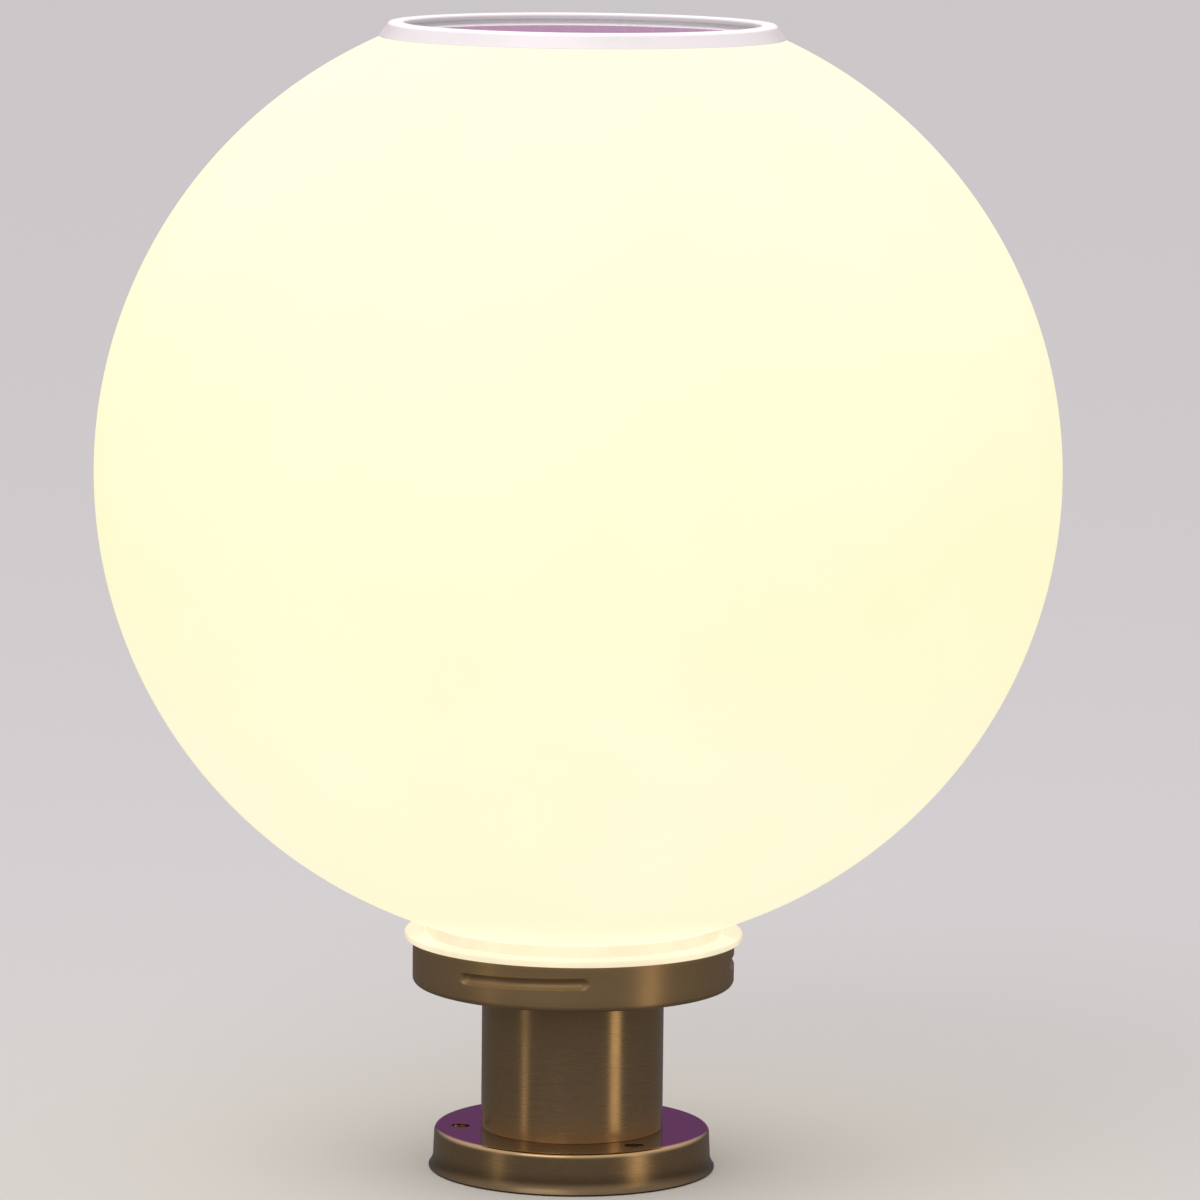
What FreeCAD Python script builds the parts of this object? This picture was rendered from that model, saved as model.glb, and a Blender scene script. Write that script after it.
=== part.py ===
import FreeCAD, Part

"""Garden globe lamp for a pillar or wall top, in millimetres, +Z up, standing on z = 0.

From the ground up: a dished steel foot, a short steel column and a steel collar cup, all clamped
by one threaded rod; an opal globe whose neck ring turns into three rolled beads of the collar; and
a solar lighting unit that drops into the globe's mouth. The globe turns anticlockwise to come off
its beads and climbs with them, the solar unit lifts straight out, and under it are a sliding
battery door and a slide switch.
"""

import math
import os
import re

import Sketcher
from FreeCAD import Placement, Rotation, Vector

DIMENSIONS = (
    # foot
    ("foot_height", 13.0, "height of the foot's top face"),
    ("foot_radius", 43.2, "foot wall, just under its rounded edge"),
    ("foot_corner", 1.6, "rounding of the foot's top edge"),
    ("foot_draft", 0.3, "how far the wall leans out before the lip"),
    ("flare_height", 5.0, "where the wall starts to flare into the lip"),
    ("flare_radius", 6.4, "curve of the flare"),
    ("lip_radius", 44.9, "outside of the lip, on the ground"),
    ("lip_round", 0.6, "rounding of the lip"),
    ("lip_land", 1.7, "width of the lip, rounding included"),
    ("sheet_wall", 1.0, "thickness of the foot's steel"),
    ("screw_circle", 35.0, "radius of the circle of screw holes"),
    ("screw_hole", 3.0, "radius of a screw hole"),
    ("screw_hole_turn", 184.0, "angle of the first screw hole"),
    # column and the rod through it
    ("column_radius", 28.5, "outside of the column tube"),
    ("column_wall", 1.0, "thickness of the column tube"),
    ("disc_height", 5.0, "height of a centring disc"),
    ("disc_floor", 2.0, "thickness of a centring disc's floor"),
    ("disc_gap", 0.1, "clearance between a centring disc and the tube"),
    ("rod_radius", 4.0, "M8 threaded rod"),
    ("rod_bottom", 2.6, "lower end of the rod"),
    ("rod_top", 71.4, "upper end of the rod"),
    ("rod_hole", 4.3, "radius of each hole that the rod passes"),
    ("nut_flats", 13.0, "M8 nut across its flats"),
    ("nut_height", 6.4, "M8 nut"),
    ("nut_bevel", 0.7, "height of the bevel at a nut's corners"),
    ("nut_bevel_width", 1.2, "how far in that bevel runs"),
    ("thread_gap", 0.05, "clearance between the nut and the rod"),
    ("rod_chamfer", 0.7, "chamfer at the rod's ends"),
    ("washer_radius", 8.0, "M8 washer"),
    ("washer_height", 1.6, "M8 washer"),
    ("spring_washer_radius", 7.0, "M8 split washer"),
    ("spring_washer_height", 2.0, "M8 split washer"),
    ("split_gap", 1.2, "gap in the split washer"),
    # collar cup
    ("collar_floor", 58.8, "underside of the collar cup"),
    ("collar_rim", 73.2, "top of the collar cup, where the globe's flange rests"),
    ("collar_radius", 50.35, "outside of the collar cup"),
    ("collar_wall", 0.8, "thickness of the collar's steel"),
    ("collar_corner", 1.8, "rounding at the collar's floor"),
    ("bead_height", 67.2, "middle of a rolled bead"),
    ("bead_turn", -109.0, "angle of the middle of the first bead"),
    ("bead_arc", 44.0, "arc of a bead between its round ends"),
    ("bead_slope", 1.5, "slope of a bead and of a rib, in degrees"),
    ("bead_circle", 50.7, "radius of the bead's centre line"),
    ("groove_radius", 1.8, "round section of the bead's outside"),
    ("ridge_radius", 2.6, "round section of the bead's inside"),
    # globe and neck ring
    ("globe_radius", 150.0, "outside of the globe at its equator"),
    ("globe_rise", 148.0, "half of the full height of the globe's curve"),
    ("globe_middle", 219.5, "height of the globe's equator"),
    ("globe_wall", 2.2, "thickness of the globe"),
    ("mouth_radius", 58.4, "hole in the top of the globe"),
    ("throat_radius", 44.3, "hole in the bottom of the globe"),
    ("glue_gap", 0.05, "gap that the neck ring's cement fills"),
    ("flange_radius", 53.0, "outside of the neck ring's flange"),
    ("flange_height", 2.0, "thickness of the flange"),
    ("flange_round", 0.6, "rounding of the flange's edge"),
    ("neck_radius", 46.8, "neck between flange and globe"),
    ("spigot_radius", 44.1, "part of the neck ring inside the globe"),
    ("spigot_inner", 42.0, "bore of the neck ring, in the globe"),
    ("spigot_top", 83.0, "top of the neck ring"),
    ("skirt_radius", 47.3, "part of the neck ring inside the collar"),
    ("skirt_inner", 44.5, "bore of the neck ring, in the collar"),
    ("skirt_bottom", 61.5, "bottom of the neck ring"),
    ("rib_radius", 49.1, "outside of a rib that runs under a bead"),
    ("rib_arc", 40.0, "arc of a rib"),
    ("rib_height", 2.0, "height of a rib"),
    ("rib_drop", 3.7, "middle of a bead down to the middle of a rib"),
    ("seal_circle", 48.45, "centre line of the neck seal"),
    ("seal_section", 0.72, "radius of the neck seal's section"),
    ("seal_height", 72.35, "height of the neck seal's centre line"),
    # bezel and solar panel
    ("bezel_top", 358.8, "top of the bezel, the lamp's highest point"),
    ("bezel_inner", 55.4, "edge of the bezel over the glass"),
    ("bezel_crest", 59.2, "outside of the bezel's flat top"),
    ("bezel_shoulder", 59.9, "outside of the bezel where its slope starts"),
    ("bezel_shoulder_drop", 0.7, "height of the rounding above that slope"),
    ("bezel_foot", 62.7, "outside of the bezel on the globe"),
    ("bezel_foot_rise", 0.5, "height of the bezel's lower edge"),
    ("bezel_round", 0.9, "rounding of the bezel's crest"),
    ("bezel_edge", 0.4, "rounding of the bezel's inner edge"),
    ("bezel_gap", 0.18, "clearance between the bezel and the globe"),
    ("skirt_ring_outer", 57.2, "outside of the bezel's skirt"),
    ("skirt_ring_inner", 56.5, "inside of the bezel's skirt"),
    ("skirt_ring_bottom", 350.5, "bottom of the bezel's skirt"),
    ("glass_top", 356.9, "face of the panel's glass"),
    ("glass_height", 1.2, "thickness of the glass"),
    ("panel_radius", 56.2, "outside of the glass and of the backing board"),
    ("cell_height", 0.3, "thickness of a solar cell"),
    ("cell_circle", 51.5, "radius of the disc that the cells fill"),
    ("cell_pitch", 17.2, "from one cell to the next"),
    ("cell_gap", 1.0, "space between cells"),
    ("backing_top", 355.3, "top of the backing board"),
    ("backing_height", 1.2, "thickness of the backing board"),
    ("gasket_height", 0.8, "thickness of the foam gasket under the panel"),
    ("mouth_seal_circle", 57.8, "centre line of the seal at the globe's mouth"),
    ("mouth_seal_section", 0.5, "radius of that seal's section"),
    ("mouth_seal_height", 354.9, "height of that seal's centre line"),
    # housing under the panel
    ("tub_radius", 56.4, "outside of the housing"),
    ("tub_wall", 2.0, "thickness of the housing"),
    ("tub_floor", 330.0, "underside of the housing"),
    ("tub_corner", 3.0, "rounding of the housing's lower edge"),
    ("battery_radius", 9.2, "one 18650 cell"),
    ("battery_length", 65.0, "one 18650 cell, without its raised end"),
    ("battery_rounding", 0.6, "rounding of the cell's edges"),
    ("terminal_radius", 3.2, "raised positive end of the cell"),
    ("terminal_height", 1.0, "raised positive end of the cell"),
    ("battery_start", -31.0, "negative end of the cell"),
    ("battery_offset", 29.0, "the cell's axis, back from the lamp's axis"),
    ("battery_height", 340.0, "height of the cell's axis"),
    ("bay_length", 76.0, "inside of the battery bay"),
    ("bay_wall", 1.6, "thickness of the bay's walls"),
    ("bay_height", 15.0, "height of the bay's walls"),
    ("bay_clearance", 1.0, "space beside the cell in its bay"),
    ("bay_back", 5.0, "how far the end walls stop short of the cell's back"),
    ("contact_wall", 0.4, "thickness of the contact plates"),
    ("contact_width", 14.0, "width and height of the contact plates"),
    ("contact_drop", 6.0, "from the cell's axis down to the plates' lower edge"),
    ("contact_boss", 3.0, "radius of the pressed boss that meets the cell"),
    ("wire_radius", 0.4, "wire of the battery spring"),
    ("spring_radius", 4.0, "battery spring, to the middle of its wire"),
    ("spring_pitch", 1.3, "from one turn of the battery spring to the next"),
    ("touch_gap", 0.05, "space between pieces that only touch"),
    ("door_length", 72.0, "battery door"),
    ("door_width", 24.0, "battery door"),
    ("door_height", 1.6, "thickness of the battery door"),
    ("door_gap", 0.2, "clearance above, below and behind the door"),
    ("door_side_gap", 0.3, "clearance beside the door"),
    ("door_opening_length", 69.0, "opening that the door covers"),
    ("door_opening_width", 20.0, "opening that the door covers"),
    ("grip_start", 24.0, "first grip ridge under the door"),
    ("grip_pitch", 3.0, "from one grip ridge to the next"),
    ("grip_width", 1.2, "width of a grip ridge"),
    ("grip_length", 14.0, "length of a grip ridge"),
    ("grip_height", 0.7, "height of a grip ridge"),
    ("stop_length", 16.0, "stop at the closed end of the door"),
    ("stop_wall", 1.2, "thickness of that stop"),
    ("rail_length", 60.0, "rails that hold the door"),
    ("rail_wall", 1.5, "thickness of a rail"),
    ("rail_hook", 1.2, "thickness of the hook under the door"),
    ("rail_reach", 1.5, "how far the hook reaches under the door"),
    ("led_offset", -8.0, "the light's axis, forward of the lamp's axis"),
    ("led_board_radius", 17.0, "aluminium board of the light"),
    ("led_board_height", 1.2, "aluminium board of the light"),
    ("led_circle", 11.0, "radius of the circle of chips"),
    ("led_chip", 3.0, "length of a chip"),
    ("led_chip_height", 0.7, "height of a chip"),
    ("cover_radius", 22.5, "flange of the light's cover"),
    ("cover_wall_radius", 18.6, "wall of the light's cover"),
    ("cover_bore", 17.4, "inside of the light's cover"),
    ("cover_flange", 1.8, "thickness of the cover's flange"),
    ("cover_depth", 6.0, "depth of the cover's straight wall"),
    ("cover_dome", 4.5, "depth of the cover's dome"),
    ("cover_skin", 1.0, "thickness of the dome at its edge"),
    ("cover_thinning", 0.2, "how much thinner the dome is at its middle"),
    ("cover_screw_circle", 20.6, "circle of the cover's screws"),
    ("lead_hole", 2.6, "hole for the light's leads"),
    ("board_length", 62.0, "circuit board"),
    ("board_width", 20.0, "circuit board"),
    ("board_height", 1.2, "thickness of the circuit board"),
    ("board_offset", -32.0, "middle of the circuit board"),
    ("board_base", 337.5, "underside of the circuit board"),
    ("post_radius", 3.0, "posts under the circuit board"),
    ("post_spread", 26.0, "from the middle of the board to a post"),
    ("screw_radius", 1.0, "M2 screws of the board and the light's cover"),
    ("screw_head_radius", 1.8, "head of an M2 screw"),
    ("screw_head_height", 1.3, "head of an M2 screw"),
    ("screw_head_round", 0.3, "rounding of that head"),
    ("slot_width", 0.5, "screwdriver slot"),
    ("slot_depth", 0.6, "screwdriver slot"),
    ("switch_start", 8.0, "left end of the switch"),
    ("switch_length", 12.0, "slide switch"),
    ("switch_width", 6.0, "slide switch"),
    ("knob_start", 10.8, "left side of the switch's knob"),
    ("knob_length", 3.2, "switch's knob"),
    ("knob_width", 3.0, "switch's knob"),
    ("knob_bottom", 327.6, "lowest point of the knob"),
    ("knob_travel", 3.0, "travel of the knob"),
    ("knob_head", 1.5, "part of the knob inside the switch"),
    ("knob_gap", 0.3, "clearance round the knob"),
    ("knob_notch", 0.4, "width and depth of the notches under the knob"),
    ("knob_notch_pitch", 0.9, "from one notch to the next"),
    ("socket_height", 4.0, "lead sockets on the circuit board"),
    ("lead_radius", 0.7, "insulated lead"),
)
ALIASES = {alias for alias, _, _ in DIMENSIONS}
WORD = re.compile(r"[a-z][a-z_]+")
UP, ALONG = Vector(0, 0, 1), Vector(1, 0, 0)
THIRDS = (0, 120, 240)

doc = FreeCAD.newDocument("globe_lamp")
sheet = doc.addObject("Spreadsheet::Sheet", "Size")
for row, (alias, number, note) in enumerate(DIMENSIONS, 1):
    sheet.set(f"A{row}", alias)
    sheet.set(f"B{row}", str(number))
    sheet.set(f"C{row}", note)
    sheet.setAlias(f"B{row}", alias)
doc.recompute()

parts = []


# ---------------------------------------------------------------- tools


def in_sheet(words):
    """The same sum with each dimension read from the spreadsheet."""
    return WORD.sub(lambda m: "Size." + m[0] if m[0] in ALIASES else m[0], words)


def size(words):
    """The value, in millimetres, of a sum of dimensions."""
    return float(sheet.evalExpression(in_sheet(words)))


def bind(item, **sums):
    """Ties properties of an object to sums of dimensions. A double underscore stands for a dot."""
    for name, words in sums.items():
        item.setExpression(name.replace("__", "."), in_sheet(words))
    return item


def keep(item, label):
    """Names a finished sub-part and lists it for export."""
    item.Label = label
    parts.append(item)
    return item


def new_body(name):
    return doc.addObject("PartDesign::Body", name)


def new_sketch(body, plane, height=None):
    """A sketch on one of the body's own origin planes, raised along the plane's normal."""
    sketch = body.newObject("Sketcher::SketchObject", body.Name + "_sketch")
    origin_plane = next(f for f in body.Origin.OriginFeatures if f.Role == plane)
    sketch.AttachmentSupport = [(origin_plane, "")]
    sketch.MapMode = "FlatFace"
    if height is not None:
        bind(sketch, AttachmentOffset__Base__z=height)
    return sketch


def hold(sketch, edge, end, across, up):
    """Fixes one point of a sketch at sums of dimensions, measured from the sketch's origin."""
    for kind, words, axis in (("DistanceX", across, -2), ("DistanceY", up, -1)):
        if abs(size(words)) < 1e-9:
            sketch.addConstraint(Sketcher.Constraint("PointOnObject", edge, end, axis))
            continue
        rule = Sketcher.Constraint(kind, -1, 1, edge, end, size(words))
        number = sketch.addConstraint(rule)
        sketch.setExpression(f"Constraints[{number}]", in_sheet(words))


def hold_radius(sketch, edge, radius):
    number = sketch.addConstraint(Sketcher.Constraint("Radius", edge, size(radius)))
    sketch.setExpression(f"Constraints[{number}]", in_sheet(radius))


def outline(sketch, corners):
    """Draws one closed outline. A corner is (across, up), or (across, up, radius, side), where an
    arc of that radius leads to the next corner and bulges to the left (1) or right (-1) of the way."""
    points = [Vector(size(c[0]), size(c[1]), 0) for c in corners]
    first, ends = sketch.GeometryCount, []
    for begin, end, corner in zip(points, points[1:] + points[:1], corners):
        if len(corner) == 2:
            sketch.addGeometry(Part.LineSegment(begin, end), False)
            ends.append((1, 2))
            continue
        radius, side = size(corner[2]), corner[3]
        chord = end - begin
        left = Vector(-chord.y, chord.x, 0).normalize()
        centre = (begin + end) / 2 - left * side * math.sqrt(radius**2 - (chord.Length / 2) ** 2)
        angles = [math.atan2(p.y - centre.y, p.x - centre.x) for p in (begin, end)]
        if side > 0:
            angles.reverse()
        sketch.addGeometry(Part.ArcOfCircle(Part.Circle(centre, UP, radius), *angles), False)
        ends.append((2, 1) if side > 0 else (1, 2))
    for number, corner in enumerate(corners):
        follower = (number + 1) % len(corners)
        here, there = (first + number, ends[number][1]), (first + follower, ends[follower][0])
        sketch.addConstraint(Sketcher.Constraint("Coincident", *here, *there))
        hold(sketch, first + number, ends[number][0], corner[0], corner[1])
        if len(corner) == 4:
            hold_radius(sketch, first + number, corner[2])


def rectangle(sketch, left, right, bottom, top):
    outline(sketch, ((left, bottom), (right, bottom), (right, top), (left, top)))


def circle(sketch, across, up, radius):
    centre = Vector(size(across), size(up), 0)
    edge = sketch.addGeometry(Part.Circle(centre, UP, size(radius)), False)
    hold(sketch, edge, 3, across, up)
    hold_radius(sketch, edge, radius)


def revolve(body, corners, plane="XZ_Plane", axis="V_Axis"):
    sketch = new_sketch(body, plane)
    outline(sketch, corners)
    feature = body.newObject("PartDesign::Revolution", body.Name + "_turned")
    feature.Profile = sketch
    feature.ReferenceAxis = (sketch, [axis])
    feature.Angle = 360
    return body


def pad(body, sketch, length, midplane=False):
    feature = body.newObject("PartDesign::Pad", body.Name + "_pad")
    feature.Profile = sketch
    feature.Midplane = midplane
    bind(feature, Length=length)
    return feature


def pocket(body, sketch, length):
    """Cuts upwards from a sketch, and stops the script if nothing was cut."""
    doc.recompute()
    before = body.Shape.Volume
    feature = body.newObject("PartDesign::Pocket", body.Name + "_pocket")
    feature.Profile = sketch
    feature.Reversed = True
    bind(feature, Length=length)
    doc.recompute()
    if not body.Shape.Volume < before:
        raise RuntimeError(f"{body.Name}: a pocket cuts nothing")
    return feature


def ring(name, outer, inner, bottom, height):
    """A flat ring or, without an inner radius, a disc."""
    body = new_body(name)
    sketch = new_sketch(body, "XY_Plane", bottom)
    circle(sketch, "0", "0", outer)
    if inner:
        circle(sketch, "0", "0", inner)
    pad(body, sketch, height)
    return body


def primitive(kind, name, **sums):
    return bind(doc.addObject("Part::" + kind, name), **sums)


def box(name, left, front, bottom, length, width, height):
    item = primitive("Box", name, Length=length, Width=width, Height=height)
    return bind(item, Placement__Base__x=left, Placement__Base__y=front, Placement__Base__z=bottom)


def rod(name, across, back, bottom, radius, height):
    item = primitive("Cylinder", name, Radius=radius, Height=height)
    return bind(item, Placement__Base__x=across, Placement__Base__y=back, Placement__Base__z=bottom)


def join(kind, name, items):
    """A fusion, common part or compound of several objects."""
    item = doc.addObject("Part::" + kind, name)
    if kind == "Compound":
        item.Links = items
    else:
        item.Shapes = items
    return item


def cut(name, base, tool):
    item = doc.addObject("Part::Cut", name)
    item.Base, item.Tool = base, tool
    return item


# ---------------------------------------------------------------- stand


def make_foot():
    body = new_body("foot_dish")
    inner_corner = "foot_corner - sheet_wall"
    revolve(
        body,
        (
            ("rod_hole", "foot_height"),
            ("foot_radius - foot_corner", "foot_height", "foot_corner", 1),
            ("foot_radius", "foot_height - foot_corner"),
            ("foot_radius + foot_draft", "flare_height", "flare_radius", -1),
            ("lip_radius", "lip_round", "lip_round", 1),
            ("lip_radius - lip_round", "0"),
            ("lip_radius - lip_land", "0"),
            ("foot_radius + foot_draft - sheet_wall", "flare_height"),
            ("foot_radius - sheet_wall", "foot_height - foot_corner", inner_corner, -1),
            ("foot_radius - foot_corner", "foot_height - sheet_wall"),
            ("rod_hole", "foot_height - sheet_wall"),
        ),
    )
    sketch = new_sketch(body, "XY_Plane", "foot_height - 2 * sheet_wall")
    circle(
        sketch,
        "screw_circle * cos(screw_hole_turn * 1 deg)",
        "screw_circle * sin(screw_hole_turn * 1 deg)",
        "screw_hole",
    )
    hole = pocket(body, sketch, "3 * sheet_wall")
    pattern = body.newObject("PartDesign::PolarPattern", "foot_dish_holes")
    pattern.Originals = [hole]
    pattern.Axis = (sketch, ["N_Axis"])
    pattern.Angle = 360
    pattern.Occurrences = len(THIRDS)
    body.Tip = pattern
    keep(body, "foot_dish")


def make_column():
    height = "collar_floor - foot_height"
    tube = ring("column_tube", "column_radius", "column_radius - column_wall", "foot_height", height)
    keep(tube, "column_tube")
    for name, face, up in (
        ("lower_centring_disc", "foot_height", "+"),
        ("upper_centring_disc", "collar_floor", "-"),
    ):
        rim = "column_radius - column_wall - disc_gap"
        disc = revolve(
            new_body(name),
            (
                ("rod_hole", face),
                (rim, face),
                (rim, f"{face} {up} disc_height"),
                (f"{rim} - disc_floor", f"{face} {up} disc_height"),
                (f"{rim} - disc_floor", f"{face} {up} disc_floor"),
                ("rod_hole", f"{face} {up} disc_floor"),
            ),
        )
        keep(disc, name)


def make_nut(name, bottom):
    """A hexagon nut, its corners taken off at top and bottom by a cone."""
    bore = "rod_radius + thread_gap"
    corner = "nut_flats / 2 + nut_bevel_width"
    radius = "nut_flats / sqrt(3)"
    hexagon = primitive("Prism", name + "_hexagon", Circumradius=radius, Height="nut_height")
    hexagon.Polygon = 6
    bevels = revolve(
        new_body(name + "_bevels"),
        (
            (bore, "0"),
            ("nut_flats / 2", "0"),
            (corner, "nut_bevel"),
            (corner, "nut_height - nut_bevel"),
            ("nut_flats / 2", "nut_height"),
            (bore, "nut_height"),
        ),
    )
    nut = join("MultiCommon", name, [hexagon, bevels])
    keep(bind(nut, Placement__Base__z=bottom), name)


def make_rod():
    end = "rod_radius - rod_chamfer"
    body = revolve(
        new_body("tie_rod"),
        (
            ("0", "rod_bottom"),
            (end, "rod_bottom"),
            ("rod_radius", "rod_bottom + rod_chamfer"),
            ("rod_radius", "rod_top - rod_chamfer"),
            (end, "rod_top"),
            ("0", "rod_top"),
        ),
    )
    keep(body, "tie_rod")
    under = "foot_height - sheet_wall - washer_height"
    over = "collar_floor + collar_wall"
    keep(ring("lower_washer", "washer_radius", "rod_hole", under, "washer_height"), "lower_washer")
    keep(ring("upper_washer", "washer_radius", "rod_hole", over, "washer_height"), "upper_washer")
    split_bottom = f"{over} + washer_height"
    split = ring("split_ring", "spring_washer_radius", "rod_hole", split_bottom, "spring_washer_height")
    reach, depth = "spring_washer_radius + 1", "spring_washer_height"
    slit = box("split_slit", "0", "-split_gap / 2", split_bottom, reach, "split_gap", depth)
    keep(cut("spring_washer", split, slit), "spring_washer")
    make_nut("lower_nut", f"{under} - nut_height")
    make_nut("upper_nut", f"{over} + washer_height + spring_washer_height")


def slanted(angle):
    """Places a piece drawn about +X at an angle round the lamp, its left end low and right end high."""
    return Rotation(UP, angle) * Rotation(ALONG, size("bead_slope"))


def bead_sausages(name, radius):
    """Three arcs of a round section with ball ends, where the collar's beads are."""
    made = []
    half = size("bead_arc") / 2
    for third in THIRDS:
        arc = primitive("Torus", f"{name}_arc_{third}", Radius1="bead_circle", Radius2=radius)
        bind(arc, Angle3="bead_arc")
        turn = slanted(size("bead_turn") + third)
        arc.Placement = Placement(Vector(0, 0, size("bead_height")), turn * Rotation(UP, -half))
        made.append(arc)
        for side, end in (("left", -half), ("right", half)):
            ball = primitive("Sphere", f"{name}_ball_{third}_{side}", Radius=radius)
            spoke = Vector(size("bead_circle"), 0, 0)
            middle = (turn * Rotation(UP, end)).multVec(spoke)
            ball.Placement = Placement(middle + Vector(0, 0, size("bead_height")), Rotation())
            made.append(ball)
    return join("MultiFuse", name, made)


def make_collar():
    inner_corner = "collar_corner - collar_wall"
    cup = revolve(
        new_body("collar_pressing"),
        (
            ("rod_hole", "collar_floor"),
            ("collar_radius - collar_corner", "collar_floor", "collar_corner", -1),
            ("collar_radius", "collar_floor + collar_corner"),
            ("collar_radius", "collar_rim"),
            ("collar_radius - collar_wall", "collar_rim"),
            ("collar_radius - collar_wall", "collar_floor + collar_corner", inner_corner, 1),
            ("collar_radius - collar_corner", "collar_floor + collar_wall"),
            ("rod_hole", "collar_floor + collar_wall"),
        ),
    )
    inside = rod("collar_inside", "0", "0", "collar_floor", "collar_radius - collar_wall / 2", "20")
    ridges = join("MultiCommon", "bead_ridges", [bead_sausages("bead_insides", "ridge_radius"), inside])
    beaded = join("MultiFuse", "collar_beaded", [cup, ridges])
    keep(cut("collar_cup", beaded, bead_sausages("bead_outsides", "groove_radius")), "collar_cup")


# ---------------------------------------------------------------- globe


def globe_surface(radius, sign):
    """Height of the globe's outer surface at a radius, above (+) or below (-) its equator."""
    return f"globe_middle {sign} globe_rise * sqrt(1 - ({radius}) ^ 2 / globe_radius ^ 2)"


def make_globe():
    shells = []
    for name, less in (("globe_outside", "0"), ("globe_inside", "globe_wall")):
        shell = primitive(
            "Ellipsoid", name, Radius1=f"globe_rise - {less}", Radius2=f"globe_radius - {less}"
        )
        shells.append(bind(shell, Placement__Base__z="globe_middle"))
    mouth = rod("globe_mouth", "0", "0", "globe_middle", "mouth_radius", "globe_rise + 5")
    throat = rod("globe_throat", "0", "0", "globe_middle - globe_rise - 5", "throat_radius", "globe_rise")
    holes = join("MultiFuse", "globe_holes", [shells[1], mouth, throat])
    keep(cut("globe_shell", shells[0], holes), "globe_shell")


def make_neck():
    turned = revolve(
        new_body("neck_turned"),
        (
            ("skirt_inner", "skirt_bottom"),
            ("skirt_radius", "skirt_bottom"),
            ("skirt_radius", "collar_rim"),
            ("flange_radius - flange_round", "collar_rim", "flange_round", -1),
            ("flange_radius", "collar_rim + flange_round"),
            ("flange_radius", "collar_rim + flange_height - flange_round", "flange_round", -1),
            ("flange_radius - flange_round", "collar_rim + flange_height"),
            ("neck_radius", "collar_rim + flange_height"),
            ("neck_radius", globe_surface("neck_radius", "-") + " - glue_gap"),
            ("spigot_radius", globe_surface("spigot_radius", "-") + " - glue_gap"),
            ("spigot_radius", "spigot_top"),
            ("spigot_inner", "spigot_top"),
            ("spigot_inner", "collar_rim - 2"),
            ("skirt_inner", "collar_rim - 5"),
        ),
    )
    pieces = [turned]
    for third in THIRDS:
        arc = primitive("Cylinder", f"rib_outside_{third}", Radius="rib_radius", Height="rib_height")
        bind(arc, Angle="rib_arc")
        core = primitive("Cylinder", f"rib_core_{third}", Radius="skirt_radius - 1", Height="rib_height")
        rib = cut(f"rib_{third}", arc, core)
        turn = slanted(size("bead_turn") + third)
        middle = Vector(0, 0, size("bead_height - rib_drop"))
        half = Placement(Vector(0, 0, -size("rib_height") / 2), Rotation(UP, -size("rib_arc") / 2))
        rib.Placement = Placement(middle, turn) * half
        pieces.append(rib)
    keep(join("MultiFuse", "neck_ring", pieces), "neck_ring")
    seal = primitive("Torus", "globe_seal", Radius1="seal_circle", Radius2="seal_section")
    keep(bind(seal, Placement__Base__z="seal_height"), "globe_seal")


# ---------------------------------------------------------------- solar unit


def make_bezel():
    shoulder = "bezel_top - bezel_shoulder_drop"
    body = revolve(
        new_body("bezel_ring"),
        (
            ("bezel_inner", "glass_top"),
            ("bezel_inner", "bezel_top - bezel_edge", "bezel_edge", 1),
            ("bezel_inner + bezel_edge", "bezel_top"),
            ("bezel_crest", "bezel_top", "bezel_round", 1),
            ("bezel_shoulder", shoulder),
            ("bezel_foot", globe_surface("bezel_foot", "+") + " + bezel_foot_rise"),
            ("bezel_foot - 0.1", globe_surface("bezel_foot", "+") + " + bezel_gap"),
            ("skirt_ring_outer", globe_surface("skirt_ring_outer", "+") + " + bezel_gap"),
            ("skirt_ring_outer", "skirt_ring_bottom"),
            ("skirt_ring_inner", "skirt_ring_bottom"),
            ("skirt_ring_inner", "glass_top"),
        ),
    )
    keep(body, "bezel_ring")
    seal = primitive("Torus", "mouth_seal", Radius1="mouth_seal_circle", Radius2="mouth_seal_section")
    keep(bind(seal, Placement__Base__z="mouth_seal_height"), "mouth_seal")


def make_panel():
    glass_bottom = "glass_top - glass_height"
    keep(ring("panel_glass", "panel_radius", None, glass_bottom, "glass_height"), "panel_glass")
    backing_bottom = "backing_top - backing_height"
    keep(ring("panel_backing", "panel_radius", None, backing_bottom, "backing_height"), "panel_backing")
    gasket_bottom = f"{backing_bottom} - gasket_height"
    gasket = ring("panel_gasket", "panel_radius", "tub_radius - tub_wall", gasket_bottom, "gasket_height")
    keep(gasket, "panel_gasket")
    disc = rod("cell_disc", "0", "0", "backing_top", "cell_circle", "cell_height")
    strips = []
    for column in range(-3, 3):
        for side, front in (("back", "cell_gap / 2"), ("front", "-cell_circle - cell_gap / 2")):
            name = f"cell_strip_{side}_{column + 3}"
            left = f"{column} * cell_pitch + cell_gap / 2"
            strip = box(
                name, left, front, "backing_top", "cell_pitch - cell_gap", "cell_circle", "cell_height"
            )
            strips.append(join("MultiCommon", name.replace("strip", "trimmed"), [strip, disc]))
    keep(join("Compound", "solar_cells", strips), "solar_cells")


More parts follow.
